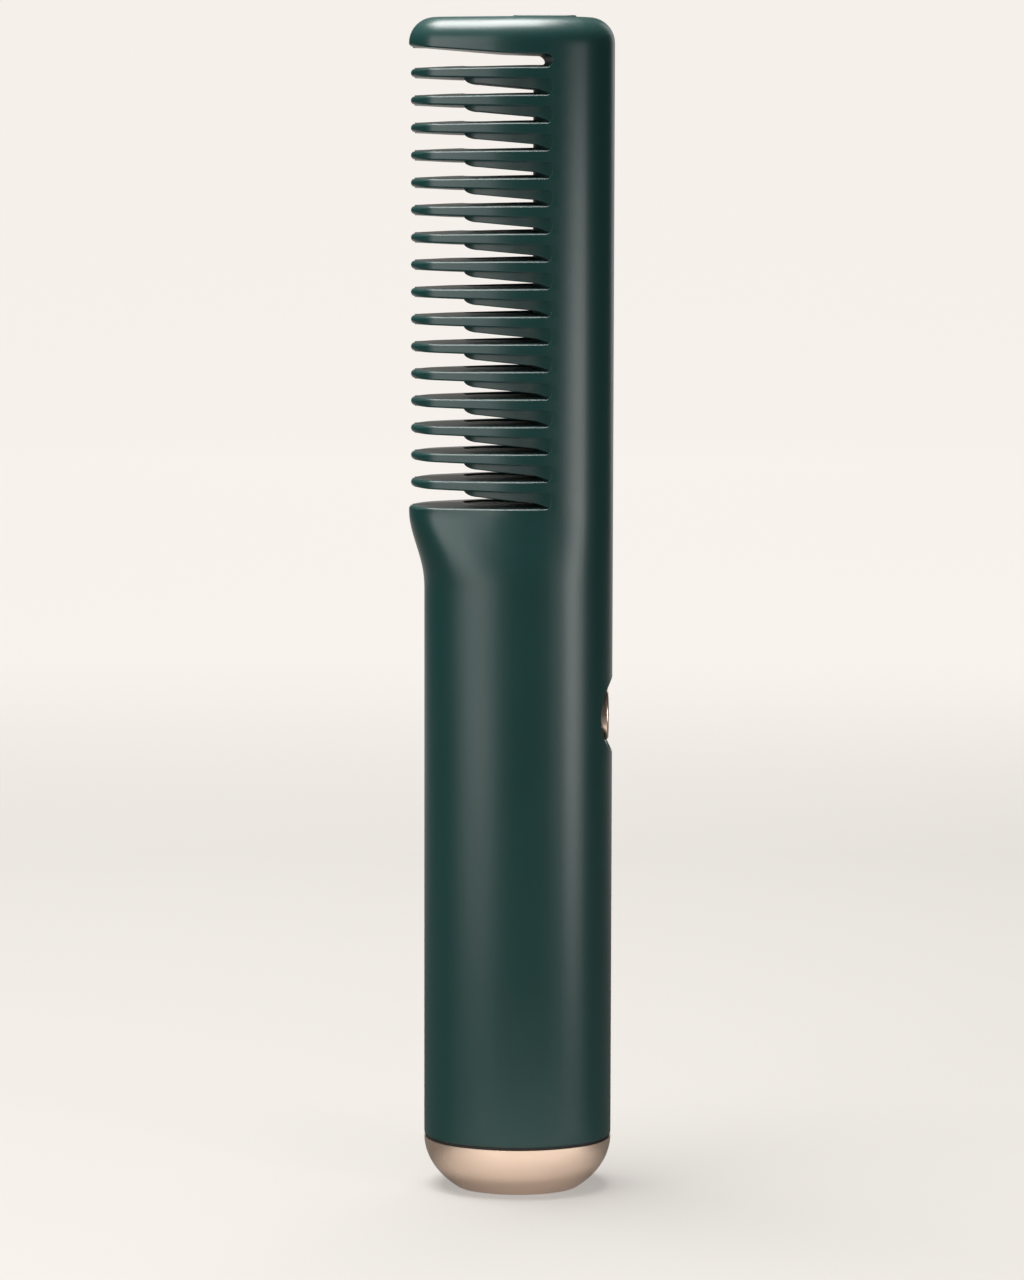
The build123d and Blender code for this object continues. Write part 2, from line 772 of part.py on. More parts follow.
pad_radius = 8.0
with BuildPart() as battery_pad:
    round_bar((cell_centre, 0), pad_radius, cell_top + tab_thickness, ceiling_height)

# Main board with its parts
with BuildPart() as main_board:
    upright_plate(board_back, board_thickness, board_half_width, board_bottom, board_top)

# Board parts, at shares of the way from the wire header up to the key
header_height = 4.0
header_level = board_bottom + 11.0
board_run = key_height - header_level
board_blocks = (                # across, up, width, height and thickness
    (0.0, header_level + 0.333 * board_run, 7.0, 7.0, 3.2),
    (-2.0, header_level + 0.653 * board_run, 5.0, 5.0, 0.9),
    (3.4, header_level + 0.665 * board_run, 3.2, 1.6, 0.8),
    (0.0, (key_height + board_top) / 2, 6.4, 5.0, 1.2),
    (0.0, header_level, 8.0, header_height, 2.6),
)
with BuildPart() as board_parts:
    for across, up, width, height, thickness in board_blocks:
        with BuildSketch(Plane.YZ.offset(board_face)):
            with Locations((across, up)):
                Rectangle(width, height)
        extrude(amount=thickness)

# Tact switch and the plunger that the key pushes
plunger_foot = switch_top - plunger_sink
with BuildPart() as switch_body:
    upright_plate(
        board_face,
        switch_height,
        switch_width / 2,
        key_height - switch_width / 2,
        key_height + switch_width / 2,
    )
    key_disc(
        plunger_foot - key_travel - seat_gap, plunger_radius + running_gap, switch_top, mode=Mode.SUBTRACT
    )
with BuildPart() as switch_plunger:
    key_disc(plunger_foot, plunger_radius, key_back)

# Press key: a metal-coated cap with a flange behind the dish floor
key_dish_radius = 34.0
key_dish_depth = 0.25
with BuildPart() as press_key:
    key_disc(key_back, key_flange_radius, key_back + key_flange_thickness)
    key_disc(key_back + key_flange_thickness, key_radius, key_face)
    outer_rim = press_key.edges().filter_by(GeomType.CIRCLE).sort_by(Axis.X)[-1]
    fillet(outer_rim, radius=key_edge_round)
    key_disc(key_back, key_hollow_radius, dish_floor, mode=Mode.SUBTRACT)
    key_disc(key_back, key_stem_radius, dish_floor)
    with Locations((key_face - key_dish_depth + key_dish_radius, 0, key_height)):
        Sphere(key_dish_radius, mode=Mode.SUBTRACT)

# Charging board and its USB-C socket in the flat base
socket_top = socket_sink + socket_length
charge_board_face = socket_depth / 2
charge_board_bottom = 2.6
with BuildPart() as charge_board:
    with BuildSketch(Plane.XZ.offset(-charge_board_face)):
        with Locations((0, (charge_board_bottom + charge_board_top) / 2)):
            Rectangle(charge_board_width, charge_board_top - charge_board_bottom)
    extrude(amount=-board_thickness)

tongue_width = 6.7
tongue_depth = 0.7
tongue_sink = 0.5
with BuildPart() as usb_shell:
    with BuildSketch(Plane.XY.offset(socket_sink)):
        SlotOverall(socket_width, socket_depth)
        SlotOverall(socket_width - 2 * socket_wall, socket_depth - 2 * socket_wall, mode=Mode.SUBTRACT)
    extrude(amount=socket_length)
with BuildPart() as usb_tongue:
    with BuildSketch(Plane.XY.offset(socket_top - 1.0)):
        SlotOverall(socket_width - 2 * socket_wall, socket_depth - 2 * socket_wall)
    extrude(amount=1.0)
    with BuildSketch(Plane.XY.offset(socket_sink + tongue_sink)):
        Rectangle(tongue_width, tongue_depth)
    extrude(amount=socket_top - 1.0 - socket_sink - tongue_sink)

# Insert: closes the handle's foot and holds the charging board
insert_bottom = seam_height - insert_plate
insert_inset = cap_wall + 0.5
with BuildPart() as cap_insert:
    ring_plate(insert_bottom, insert_plate, insert_inset)
    with BuildSketch(Plane.XY.offset(seam_height)):
        whole_oval(shell_wall + seat_gap)
        with BuildSketch(Plane.XY, mode=Mode.PRIVATE) as skirt_inside:
            whole_oval(shell_wall + seat_gap + insert_wall)
        add(skirt_inside.sketch, mode=Mode.SUBTRACT)
    extrude(amount=insert_skirt)
    with BuildSketch(Plane.XY.offset(insert_bottom)):
        Rectangle(charge_board_width + 2 * seat_gap, socket_depth + 2 * (board_thickness + seat_gap))
    extrude(amount=insert_plate, mode=Mode.SUBTRACT)
    for offset_x in (-cap_screw_offset, cap_screw_offset):
        round_bar(
            (offset_x, 0), cap_screw_radius + seat_gap, insert_bottom, seam_height, mode=Mode.SUBTRACT
        )

with BuildPart() as cap_screws:
    for offset_x in (-cap_screw_offset, cap_screw_offset):
        round_bar(
            (offset_x, 0), cap_screw_head_radius, insert_bottom - cap_screw_head_height, insert_bottom
        )
        round_bar((offset_x, 0), cap_screw_radius, insert_bottom, insert_bottom + cap_screw_length)

# Seal ring between the cap and the shells
with BuildPart() as seal_ring:
    with BuildSketch(Plane.XY.offset(seam_height)):
        whole_oval(ring_recess)
        with BuildSketch(Plane.XY, mode=Mode.PRIVATE) as ring_inside:
            whole_oval(cap_wall)
        add(ring_inside.sketch, mode=Mode.SUBTRACT)
    extrude(amount=ring_thickness)

# End cap: a dome with a flat base to stand on
cap_steps = 6


def cap_scale(height):
    """Share of the handle's outline that the dome has at this height."""
    return math.sqrt(1 - ((seam_height - height) / cap_dome_depth) ** 2)


def dome(bottom, inset, mode):
    """A dome from bottom up to the seam."""
    sections = []
    for step in range(cap_steps + 1):
        height = bottom + (seam_height - bottom) * step / cap_steps
        with BuildSketch(Plane.XY.offset(height)) as section:
            whole_oval(inset)
            scale(by=cap_scale(height))
        sections.append(section.sketch)
    loft(sections, mode=mode)


with BuildPart() as end_cap:
    dome(0.0, 0.0, Mode.ADD)
    base_edges = end_cap.faces().sort_by(Axis.Z)[0].edges()
    fillet(base_edges, radius=cap_base_round)
    dome(cap_wall, cap_wall, Mode.SUBTRACT)
    with BuildSketch(Plane.XY):
        SlotOverall(socket_width + 2 * socket_clearance, socket_depth + 2 * socket_clearance)
    extrude(amount=cap_wall, mode=Mode.SUBTRACT)

# Wires inside the handle
wire_bend = 2.0
lead_bend_height = holder_foot + 1.5
lead_start_y = 1.0
heater_pad_y = 2.2
heater_pad_drop = 5.0
sensor_pad_y = 4.8
sensor_pad_drop = 4.0
board_wire_face = board_face + lead_radius + seat_gap
lead_starts = (
    (1, stone_face + lead_radius),
    (-1, stone_face + stone_thickness + electrode_thickness / 2),
)
with BuildPart() as heater_leads:
    for side, start_x in lead_starts:
        lead(
            [
                (start_x, side * lead_start_y, tab_foot - sensor_seat),
                (start_x, side * lead_start_y, lead_bend_height),
                (board_wire_face, side * heater_pad_y, shoulder_start),
                (board_wire_face, side * heater_pad_y, board_top - heater_pad_drop),
            ],
            lead_radius,
            wire_bend,
        )

sensor_lead_radius = 0.35
sensor_wire_face = board_face + sensor_lead_radius + seat_gap
with BuildPart() as sensor_leads:
    for side, start_x in ((1, core_back + thermistor_radius), (-1, core_back + fuse_radius)):
        lead(
            [
                (start_x + sensor_seat, side * sensor_offset, sensor_foot),
                (start_x + sensor_seat, side * sensor_offset, lead_bend_height),
                (sensor_wire_face, side * sensor_pad_y, shoulder_start),
                (sensor_wire_face, side * sensor_pad_y, board_top - sensor_pad_drop),
            ],
            sensor_lead_radius,
            wire_bend,
        )

charge_lead_radius = 0.5
charge_wire_face = board_face + charge_lead_radius + seat_gap
charge_wire_start = 6.6
charge_wire_bend = 1.0
charge_pad_drop = 5.6          # the wires start this far below the charge board's top
charge_bend_drop = 3.0
charge_bend_run = 8.0          # and turn over to the main board below its foot
charge_bend_end = 1.0
header_share = 0.6             # the wires draw together to this share at the header
rear_wire_y = charge_board_face + board_thickness + charge_lead_radius + 0.05
front_wire_y = charge_board_face - charge_lead_radius - 0.05
with BuildPart() as charge_leads:
    for start_y, hole in ((rear_wire_y, rear_wire), (front_wire_y, front_wire)):
        lead(
            [
                (charge_wire_start, start_y, charge_board_top - charge_pad_drop),
                (charge_wire_start, start_y, charge_board_top - charge_bend_drop),
                (hole[0], hole[1], charge_board_top),
                (hole[0], hole[1], board_bottom - charge_bend_run),
                (charge_wire_face, hole[1] * header_share, board_bottom - charge_bend_end),
                (charge_wire_face, hole[1] * header_share, header_level - header_height / 2 - seat_gap),
            ],
            charge_lead_radius,
            charge_wire_bend,
        )

single_parts = {
    "top_plug": top_plug,
    "top_screw": top_screw,
    "heater_core": heater_core,
    "heating_stones": heating_stones,
    "electrode_plates": electrode_plates,
    "insulating_film": insulating_film,
    "heater_clip": heater_clip,
    "core_holder": core_holder,
    "thermistor": thermistor,
    "thermal_fuse": thermal_fuse,
    "battery_carrier": battery_carrier,
    "battery_cell": battery_cell,
    "negative_tab": negative_tab,
    "positive_tab": positive_tab,
    "battery_pad": battery_pad,
    "main_board": main_board,
    "board_parts": board_parts,
    "switch_body": switch_body,
    "switch_plunger": switch_plunger,
    "press_key": press_key,
    "charge_board": charge_board,
    "usb_shell": usb_shell,
    "usb_tongue": usb_tongue,
    "cap_insert": cap_insert,
    "cap_screws": cap_screws,
    "seal_ring": seal_ring,
    "end_cap": end_cap,
    "heater_leads": heater_leads,
    "sensor_leads": sensor_leads,
    "charge_leads": charge_leads,
}
for name, piece in single_parts.items():
    piece.part.label = name
    export_step(piece.part, f"parts/{name}.step")
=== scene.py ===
import json
import math

import bmesh
import bpy
import numpy as np
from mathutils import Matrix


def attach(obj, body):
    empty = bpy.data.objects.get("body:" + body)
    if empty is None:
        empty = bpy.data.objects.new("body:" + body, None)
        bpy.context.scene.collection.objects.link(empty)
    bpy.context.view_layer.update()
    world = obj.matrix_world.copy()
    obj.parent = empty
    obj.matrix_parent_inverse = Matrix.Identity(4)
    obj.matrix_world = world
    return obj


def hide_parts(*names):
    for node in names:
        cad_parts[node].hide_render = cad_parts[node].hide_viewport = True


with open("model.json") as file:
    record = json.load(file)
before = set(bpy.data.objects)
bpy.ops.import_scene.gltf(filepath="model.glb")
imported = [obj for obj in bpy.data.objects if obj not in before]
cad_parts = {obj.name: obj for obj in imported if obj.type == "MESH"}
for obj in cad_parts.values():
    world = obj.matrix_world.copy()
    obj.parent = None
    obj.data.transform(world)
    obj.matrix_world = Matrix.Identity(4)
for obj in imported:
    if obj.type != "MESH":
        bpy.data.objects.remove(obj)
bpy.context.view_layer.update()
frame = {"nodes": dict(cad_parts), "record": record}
nodes = frame["nodes"]
print("frame loaded:", len(nodes), "nodes")


# how nodes and meshes are put together

def feed(tree, socket, value):
    # a node's output is linked, and any other value is set
    if isinstance(value, bpy.types.NodeSocket):
        tree.links.new(value, socket)
    else:
        socket.default_value = value


def mathNode(tree, operation, *values, clamp=False):
    node = tree.nodes.new("ShaderNodeMath")
    node.operation = operation
    node.use_clamp = clamp
    for slot, value in enumerate(values):
        feed(tree, node.inputs[slot], value)
    return node.outputs[0]


def rangeNode(tree, value, source, result=(0.0, 1.0), kind="SMOOTHSTEP"):
    # source's two ends become result's two, and the values between them are eased
    node = tree.nodes.new("ShaderNodeMapRange")
    node.interpolation_type = kind
    for label, end in zip(("From Min", "From Max", "To Min", "To Max"), (*source, *result)):
        node.inputs[label].default_value = end
    tree.links.new(value, node.inputs["Value"])
    return node.outputs["Result"]


def mixNode(tree, factor, first, second, kind="FLOAT"):
    node = tree.nodes.new("ShaderNodeMix")
    node.data_type = kind
    for label, value in (("Factor", factor), ("A", first), ("B", second)):
        feed(tree, node.inputs[label], value)
    return node.outputs["Result"]


def distanceNode(tree, place, point):
    node = tree.nodes.new("ShaderNodeVectorMath")
    node.operation = "DISTANCE"
    tree.links.new(place, node.inputs[0])
    node.inputs[1].default_value = point
    return node.outputs["Value"]


def splitNode(tree, vector):
    node = tree.nodes.new("ShaderNodeSeparateXYZ")
    tree.links.new(vector, node.inputs[0])
    return node.outputs


def groupNode(tree, group, values):
    node = tree.nodes.new("ShaderNodeGroup")
    node.node_tree = group
    for label, value in values.items():
        feed(tree, node.inputs[label], value)
    return node.outputs


def gridFaces(rows, columns, start=0):
    # points are counted row by row, and each face takes two neighbours of a row and the same two of the next
    index = np.arange(rows * columns).reshape(rows, columns) + start
    faces = np.stack([index[:-1, :-1], index[1:, :-1], index[1:, 1:], index[:-1, 1:]], axis=-1)
    return faces.reshape(-1, 4)


def addPiece(name, mesh):
    mesh.shade_smooth()
    piece = bpy.data.objects.new(name, mesh)
    bpy.context.scene.collection.objects.link(piece)
    return piece


# camera, paper and lamps

studio = {
    "lens": 111.765,           # mm
    "sensor": 36.0,
    "clip": (0.01, 30.0),
    "cameraPlace": (-0.0022156, -0.700, 0.1866),
    "cameraPitch": 5.088,      # degrees down
    "cameraRoll": -0.11,
    "cameraShift": (0.0040, -0.1142),
    "paperColour": (0.36, 0.347, 0.333),
    "paperRough": 0.85,
    "paperGloss": 0.15,
    "glowColour": (0.93, 0.885, 0.84),
    "paperGlow": (0.0, 0.98),  # light of the paper in front of the comb and far behind it
    "glowReach": (0.0, 0.75),
    "paperLift": 0.40,         # least light of it as the camera sees it
    "mirrorGlow": (0.95, 0.03),  # share of it that gloss picks up, straight behind and far to the side
    "mirrorReach": (0.20, 0.85),
    "mirrorHeight": 0.25,
    "paperSeen": (1.0, 0.17),  # how light the paper is for gloss, near its heart and far from it
    "paperHeart": (0.007, -0.050, 0.0),
    "paperNear": (0.022, 0.066),
    "floorFront": -2.5,
    "floorReach": 1.6,         # flat part behind the comb
    "sweepRadius": 0.9,
    "sweepSteps": 25,
    "wallHeight": 2.4,
    "halfWidth": 4.0,
    "worldColour": (1.0, 0.985, 0.965),
    "worldStrength": (0.06, 0.90),  # for everything else and for the camera
}


def srgb(red, green, blue):
    # 0-255 display values to linear colour: the standard curve, a power of 2.4 above a short straight run
    values = np.array([red, green, blue]) / 255
    linear = np.where(values <= 0.04045, values / 12.92, ((values + 0.055) / 1.055) ** 2.4)
    return tuple(float(v) for v in linear) + (1.0,)


def addCamera(spec):
    data = bpy.data.cameras.new("studioCamera")
    data.lens = spec["lens"]
    data.sensor_width = spec["sensor"]
    data.shift_x, data.shift_y = spec["cameraShift"]
    data.clip_start, data.clip_end = spec["clip"]
    camera = bpy.data.objects.new("studioCamera", data)
    camera.location = spec["cameraPlace"]
    camera.rotation_euler = (math.radians(90 - spec["cameraPitch"]), math.radians(spec["cameraRoll"]), 0.0)
    bpy.context.scene.collection.objects.link(camera)
    bpy.context.scene.camera = camera


def makePaper(spec):
    # the paper glows more the further back it lies, and where it doesn't, the lamps light it
    material = bpy.data.materials.new("studioPaper")
    material.use_nodes = True
    tree = material.node_tree
    shader = tree.nodes["Principled BSDF"]
    shader.inputs["Roughness"].default_value = spec["paperRough"]
    shader.inputs["Specular IOR Level"].default_value = spec["paperGloss"]
    shader.inputs["Emission Color"].default_value = (*spec["glowColour"], 1.0)
    place = tree.nodes.new("ShaderNodeTexCoord").outputs["Object"]
    seen = tree.nodes.new("ShaderNodeLightPath").outputs["Is Camera Ray"]
    axes = splitNode(tree, place)
    near = rangeNode(tree, distanceNode(tree, place, spec["paperHeart"]), spec["paperNear"], spec["paperSeen"])
    fade = rangeNode(tree, axes["Y"], spec["glowReach"], spec["paperGlow"])
    lift = mathNode(tree, "MULTIPLY", mathNode(tree, "MAXIMUM", seen, near), spec["paperLift"])
    light = mathNode(tree, "MAXIMUM", fade, lift)
    lit = mathNode(tree, "SUBTRACT", 1.0, light)  # what the lamps still light, as the glow takes over
    shown = mixNode(tree, seen, near, lit)
    tone = mixNode(tree, shown, (0.0, 0.0, 0.0, 1.0), (*spec["paperColour"], 1.0), "RGBA")
    tree.links.new(tone, shader.inputs["Base Color"])
    level = tree.nodes.new("ShaderNodeCombineXYZ")
    tree.links.new(axes["X"], level.inputs["X"])
    tree.links.new(axes["Z"], level.inputs["Z"])
    aside = distanceNode(tree, level.outputs[0], (0.0, 0.0, spec["mirrorHeight"]))
    mirror = rangeNode(tree, aside, spec["mirrorReach"], spec["mirrorGlow"])
    glow = mathNode(tree, "MULTIPLY", light, mathNode(tree, "MAXIMUM", mirror, seen))
    tree.links.new(glow, shader.inputs["Emission Strength"])
    return material


def addFloor(spec):
    # a flat floor that bends up into a wall: straight run, quarter circle, straight run, carried along x
    reach, radius = spec["floorReach"], spec["sweepRadius"]
    turn = np.linspace(0, math.pi / 2, spec["sweepSteps"])
    y = np.concatenate([[spec["floorFront"]], reach + radius * np.sin(turn), [reach + radius]])
    z = np.concatenate([[0.0], radius * (1 - np.cos(turn)), [spec["wallHeight"]]])
    points = np.empty((2, len(y), 3))
    points[..., 0] = [[-spec["halfWidth"]], [spec["halfWidth"]]]
    points[..., 1] = y
    points[..., 2] = z
    mesh = bpy.data.meshes.new("studioFloor")
    mesh.from_pydata(points.reshape(-1, 3).tolist(), [], gridFaces(2, len(y)).tolist())
    floor = addPiece("studioFloor", mesh)
    floor.data.materials.append(makePaper(spec))


def addSoftbox(name, azimuth, elevation, distance, width, height, power, colour, target=(0, 0, 0.11)):
    # azimuth is counted from the camera's side, positive to the right, and elevation upwards
    data = bpy.data.lights.new(name, "AREA")
    data.shape = "RECTANGLE"
    data.size = width
    data.size_y = height
    data.energy = power
    data.color = colour
    light = bpy.data.objects.new(name, data)
    turn, rise = math.radians(azimuth), math.radians(elevation)
    offset = np.array([
        math.sin(turn) * math.cos(rise),
        -math.cos(turn) * math.cos(rise),
        math.sin(rise),
    ]) * distance
    light.location = tuple(np.array(target) + offset)
    light.rotation_euler = (math.pi / 2 - rise, 0.0, turn)
    bpy.context.scene.collection.objects.link(light)


def addWorld(spec):
    world = bpy.data.worlds.new("studioWorld")
    world.use_nodes = True
    tree = world.node_tree
    sky = tree.nodes["Background"]
    sky.inputs["Color"].default_value = (*spec["worldColour"], 1.0)
    seen = tree.nodes.new("ShaderNodeLightPath").outputs["Is Camera Ray"]
    strength = rangeNode(tree, seen, (0.0, 1.0), spec["worldStrength"], "LINEAR")
    tree.links.new(strength, sky.inputs["Strength"])
    bpy.context.scene.world = world


lights = {
    # azimuth, elevation, distance, width, height, power and colour, then where it points if not at the middle
    "leftLow": (-36, -8.9, 0.34, 0.170, 0.115, 0.195, (1.0, 1.0, 0.98)),
    "leftHigh": (-49, 19.3, 0.34, 0.165, 0.215, 0.44, (1.0, 1.0, 0.98)),
    "rightBox": (50, -3, 0.32, 0.036, 0.185, 0.34, (1.0, 1.0, 0.98)),
    "topBox": (180, 86, 1.0, 0.75, 0.65, 30.0, (1.0, 0.99, 0.97), (-0.2, 0, 0.11)),
    "rightBack": (152, 12, 1.3, 0.35, 0.9, 1.3, (1.0, 1.0, 0.98)),
}

addCamera(studio)
addFloor(studio)
for lightName, values in lights.items():
    addSoftbox(lightName, *values)
addWorld(studio)
bpy.context.scene.view_settings.view_transform = "Standard"
print("studio ready")


# shared effects

def newGroup(name, inputs, outputs):
    group = bpy.data.node_groups.new(name, "ShaderNodeTree")
    for label, kind, value in inputs:
        socket = group.interface.new_socket(label, in_out="INPUT", socket_type=kind)
        if value is not None:
            socket.default_value = value
    for label, kind in outputs:
        group.interface.new_socket(label, in_out="OUTPUT", socket_type=kind)
    start = group.nodes.new("NodeGroupInput")
    end = group.nodes.new("NodeGroupOutput")
    return group, start.outputs, end.inputs


def noiseNode(tree, vector, scale, detail, roughness=0.5):
    node = tree.nodes.new("ShaderNodeTexNoise")
    node.inputs["Detail"].default_value = detail
    node.inputs["Roughness"].default_value = roughness
    tree.links.new(vector, node.inputs["Vector"])
    tree.links.new(scale, node.inputs["Scale"])
    return node.outputs["Fac"]


def makeMouldGrain():
    # fine moulded or blasted texture: a fine noise as height, and a coarse one as tone and roughness
    group, given, result = newGroup(
        "mouldGrain",
        [("Vector", "NodeSocketVector", None), ("Grain Scale", "NodeSocketFloat", 3000.0),
         ("Cloud Scale", "NodeSocketFloat", 60.0), ("Rough Low", "NodeSocketFloat", 0.3),
         ("Rough High", "NodeSocketFloat", 0.4)],
        [("Height", "NodeSocketFloat"), ("Tone", "NodeSocketFloat"), ("Roughness", "NodeSocketFloat")],
    )
    fine = noiseNode(group, given["Vector"], given["Grain Scale"], 3.0)
    cloud = noiseNode(group, given["Vector"], given["Cloud Scale"], 4.0)
    spread = mathNode(group, "SUBTRACT", given["Rough High"], given["Rough Low"])
    rough = mathNode(group, "MULTIPLY_ADD", cloud, spread, given["Rough Low"])
    for label, value in (("Height", fine), ("Tone", cloud), ("Roughness", rough)):
        group.links.new(value, result[label])
    return group


def makeSettledDust():
    # a mask that is strongest where the surface looks up, broken up by noise
    group, given, result = newGroup(
        "settledDust",
        [("Vector", "NodeSocketVector", None), ("Scale", "NodeSocketFloat", 900.0),
         ("Amount", "NodeSocketFloat", 0.1)],
        [("Mask", "NodeSocketFloat")],
    )
    normal = group.nodes.new("ShaderNodeNewGeometry").outputs["Normal"]
    up = mathNode(group, "MAXIMUM", splitNode(group, normal)["Z"], 0.0)
    speck = noiseNode(group, given["Vector"], given["Scale"], 5.0, 0.7)
    broken = mathNode(group, "MULTIPLY", up, speck)
    mask = mathNode(group, "MULTIPLY", broken, given["Amount"], clamp=True)
    group.links.new(mask, result["Mask"])
    return group


mouldGrain = makeMouldGrain()
settledDust = makeSettledDust()
print("shared effects ready")


# materials, one for each finish

finishes = {
    # dark and light display colours with a cloud between them, roughness from low to high, strength of the
    # grain's bump, how fine the grain and the cloud are, and how much dust lies on what looks up
    "shell_green": dict(dark=(14, 53, 51), light=(17, 60, 58), rough=(0.32, 0.38), metal=0.0, bump=0.05,
                        grain=2600, cloud=35, dust=0.06),
    "core_coating": dict(dark=(24, 46, 44), light=(44, 66, 64), rough=(0.38, 0.50), metal=0.0, bump=0.10,
                         grain=3200, cloud=420, dust=0.04, turns=((14, 53, 50), 0.35, 0.001, 0.0052)),
    "champagne": dict(dark=(237, 210, 189), light=(246, 222, 204), rough=(0.24, 0.32), metal=1.0, bump=0.04,
                      grain=4200, cloud=60, dust=0.0),
    "black_rubber": dict(dark=(14, 15, 15), light=(26, 27, 27), rough=(0.60, 0.72), metal=0.0, bump=0.12,
                         grain=2400, cloud=120, dust=0.05),
    "socket_steel": dict(dark=(150, 150, 150), light=(190, 190, 190), rough=(0.22, 0.34), metal=1.0,
                         bump=0.04, grain=3000, cloud=150, dust=0.0),
    "screw_steel": dict(dark=(150, 152, 155), light=(190, 192, 195), rough=(0.25, 0.38), metal=1.0,
                        bump=0.05, grain=3000, cloud=300, dust=0.0),
    "heating_stone": dict(dark=(60, 56, 52), light=(84, 79, 74), rough=(0.7, 0.85), metal=0.0, bump=0.2,
                          grain=2600, cloud=300, dust=0.0),
    "bare_aluminium": dict(dark=(176, 178, 180), light=(204, 206, 208), rough=(0.28, 0.4), metal=1.0,
                           bump=0.05, grain=2600, cloud=200, dust=0.0),
    "amber_film": dict(dark=(190, 118, 30), light=(214, 142, 52), rough=(0.18, 0.28), metal=0.0, bump=0.02,
                       grain=1200, cloud=200, dust=0.0),
    "spring_steel": dict(dark=(120, 122, 124), light=(160, 162, 164), rough=(0.25, 0.35), metal=1.0,
                         bump=0.05, grain=2600, cloud=200, dust=0.0),
    "holder_black": dict(dark=(20, 21, 22), light=(32, 33, 34), rough=(0.45, 0.6), metal=0.0, bump=0.1,
                         grain=2600, cloud=150, dust=0.0),
    "sensor_glass": dict(dark=(150, 96, 60), light=(180, 120, 78), rough=(0.08, 0.14), metal=0.0, bump=0.0,
                         grain=1500, cloud=200, dust=0.0),
    "fuse_white": dict(dark=(214, 212, 206), light=(232, 230, 224), rough=(0.3, 0.4), metal=0.0, bump=0.05,
                       grain=2600, cloud=200, dust=0.0),
    "carrier_grey": dict(dark=(92, 94, 96), light=(112, 114, 116), rough=(0.45, 0.58), metal=0.0, bump=0.08,
                         grain=2600, cloud=90, dust=0.0),
    "cell_sleeve": dict(dark=(40, 98, 150), light=(54, 116, 170), rough=(0.2, 0.3), metal=0.0, bump=0.03,
                        grain=1600, cloud=60, dust=0.0),
    "nickel": dict(dark=(168, 165, 156), light=(196, 193, 184), rough=(0.25, 0.36), metal=1.0, bump=0.05,
                   grain=2600, cloud=200, dust=0.0),
    "foam": dict(dark=(52, 52, 54), light=(78, 78, 80), rough=(0.85, 0.95), metal=0.0, bump=0.5,
                 grain=1800, cloud=300, dust=0.0),
    "board_green": dict(dark=(20, 74, 44), light=(30, 92, 56), rough=(0.3, 0.42), metal=0.0, bump=0.06,
                        grain=2200, cloud=260, dust=0.0),
    "chip_black": dict(dark=(18, 18, 20), light=(30, 30, 32), rough=(0.4, 0.55), metal=0.0, bump=0.1,
                       grain=2600, cloud=200, dust=0.0),
    "switch_black": dict(dark=(22, 22, 24), light=(34, 34, 36), rough=(0.4, 0.52), metal=0.0, bump=0.08,
                         grain=2600, cloud=200, dust=0.0),
    "plunger_white": dict(dark=(216, 214, 208), light=(230, 228, 222), rough=(0.35, 0.45), metal=0.0,
                          bump=0.05, grain=2600, cloud=200, dust=0.0),
    "lead_red": dict(dark=(156, 26, 22), light=(182, 40, 34), rough=(0.35, 0.5), metal=0.0, bump=0.05,
                     grain=2400, cloud=200, dust=0.0),
    "lead_white": dict(dark=(206, 204, 198), light=(226, 224, 218), rough=(0.4, 0.5), metal=0.0, bump=0.05,
                       grain=2400, cloud=200, dust=0.0),
    "lead_black": dict(dark=(18, 18, 18), light=(32, 32, 32), rough=(0.4, 0.52), metal=0.0, bump=0.05,
                       grain=2400, cloud=200, dust=0.0),
}


dustColour = (200, 196, 190)
grainDepth = 0.0002


def makeFinish(name, spec):
    material = bpy.data.materials.new(name)
    material.use_nodes = True
    tree = material.node_tree
    shader = tree.nodes["Principled BSDF"]
    place = tree.nodes.new("ShaderNodeTexCoord").outputs["Object"]
    grain = groupNode(tree, mouldGrain, {
        "Vector": place, "Grain Scale": spec["grain"], "Cloud Scale": spec["cloud"],
        "Rough Low": spec["rough"][0], "Rough High": spec["rough"][1],
    })
    colour = mixNode(tree, grain["Tone"], srgb(*spec["dark"]), srgb(*spec["light"]), "RGBA")
    rough = grain["Roughness"]
    if spec["dust"] > 0:
        dust = groupNode(tree, settledDust, {"Amount": spec["dust"], "Vector": place})
        colour = mixNode(tree, dust["Mask"], colour, srgb(*dustColour), "RGBA")
    if "turns" in spec:
        # another colour and roughness past a place along x
        other, otherRough, start, end = spec["turns"]
        past = rangeNode(tree, splitNode(tree, place)["X"], (start, end))
        colour = mixNode(tree, past, colour, srgb(*other), "RGBA")
        rough = mixNode(tree, past, rough, otherRough)
    tree.links.new(colour, shader.inputs["Base Color"])
    tree.links.new(rough, shader.inputs["Roughness"])
    shader.inputs["Metallic"].default_value = spec["metal"]
    if spec["bump"] > 0:
        bump = tree.nodes.new("ShaderNodeBump")
        bump.inputs["Strength"].default_value = spec["bump"]
        bump.inputs["Distance"].default_value = grainDepth
        tree.links.new(grain["Height"], bump.inputs["Height"])
        tree.links.new(bump.outputs["Normal"], shader.inputs["Normal"])
    return material


materials = {name: makeFinish(name, spec) for name, spec in finishes.items()}
nodeFinish = {
    nodeName: entry["slot"]
    for entry in frame["record"]["materials"]
    for nodeName in entry.get("nodes", [])
}
for nodeName, node in nodes.items():
    slotName = nodeFinish.get(nodeName)
    if slotName is None:
        slotName = node.data.materials[0].name.split(".")[0]
    for slot in node.material_slots:
        slot.material = materials[slotName]
print("finishes ready")


# the two moulded halves of the housing

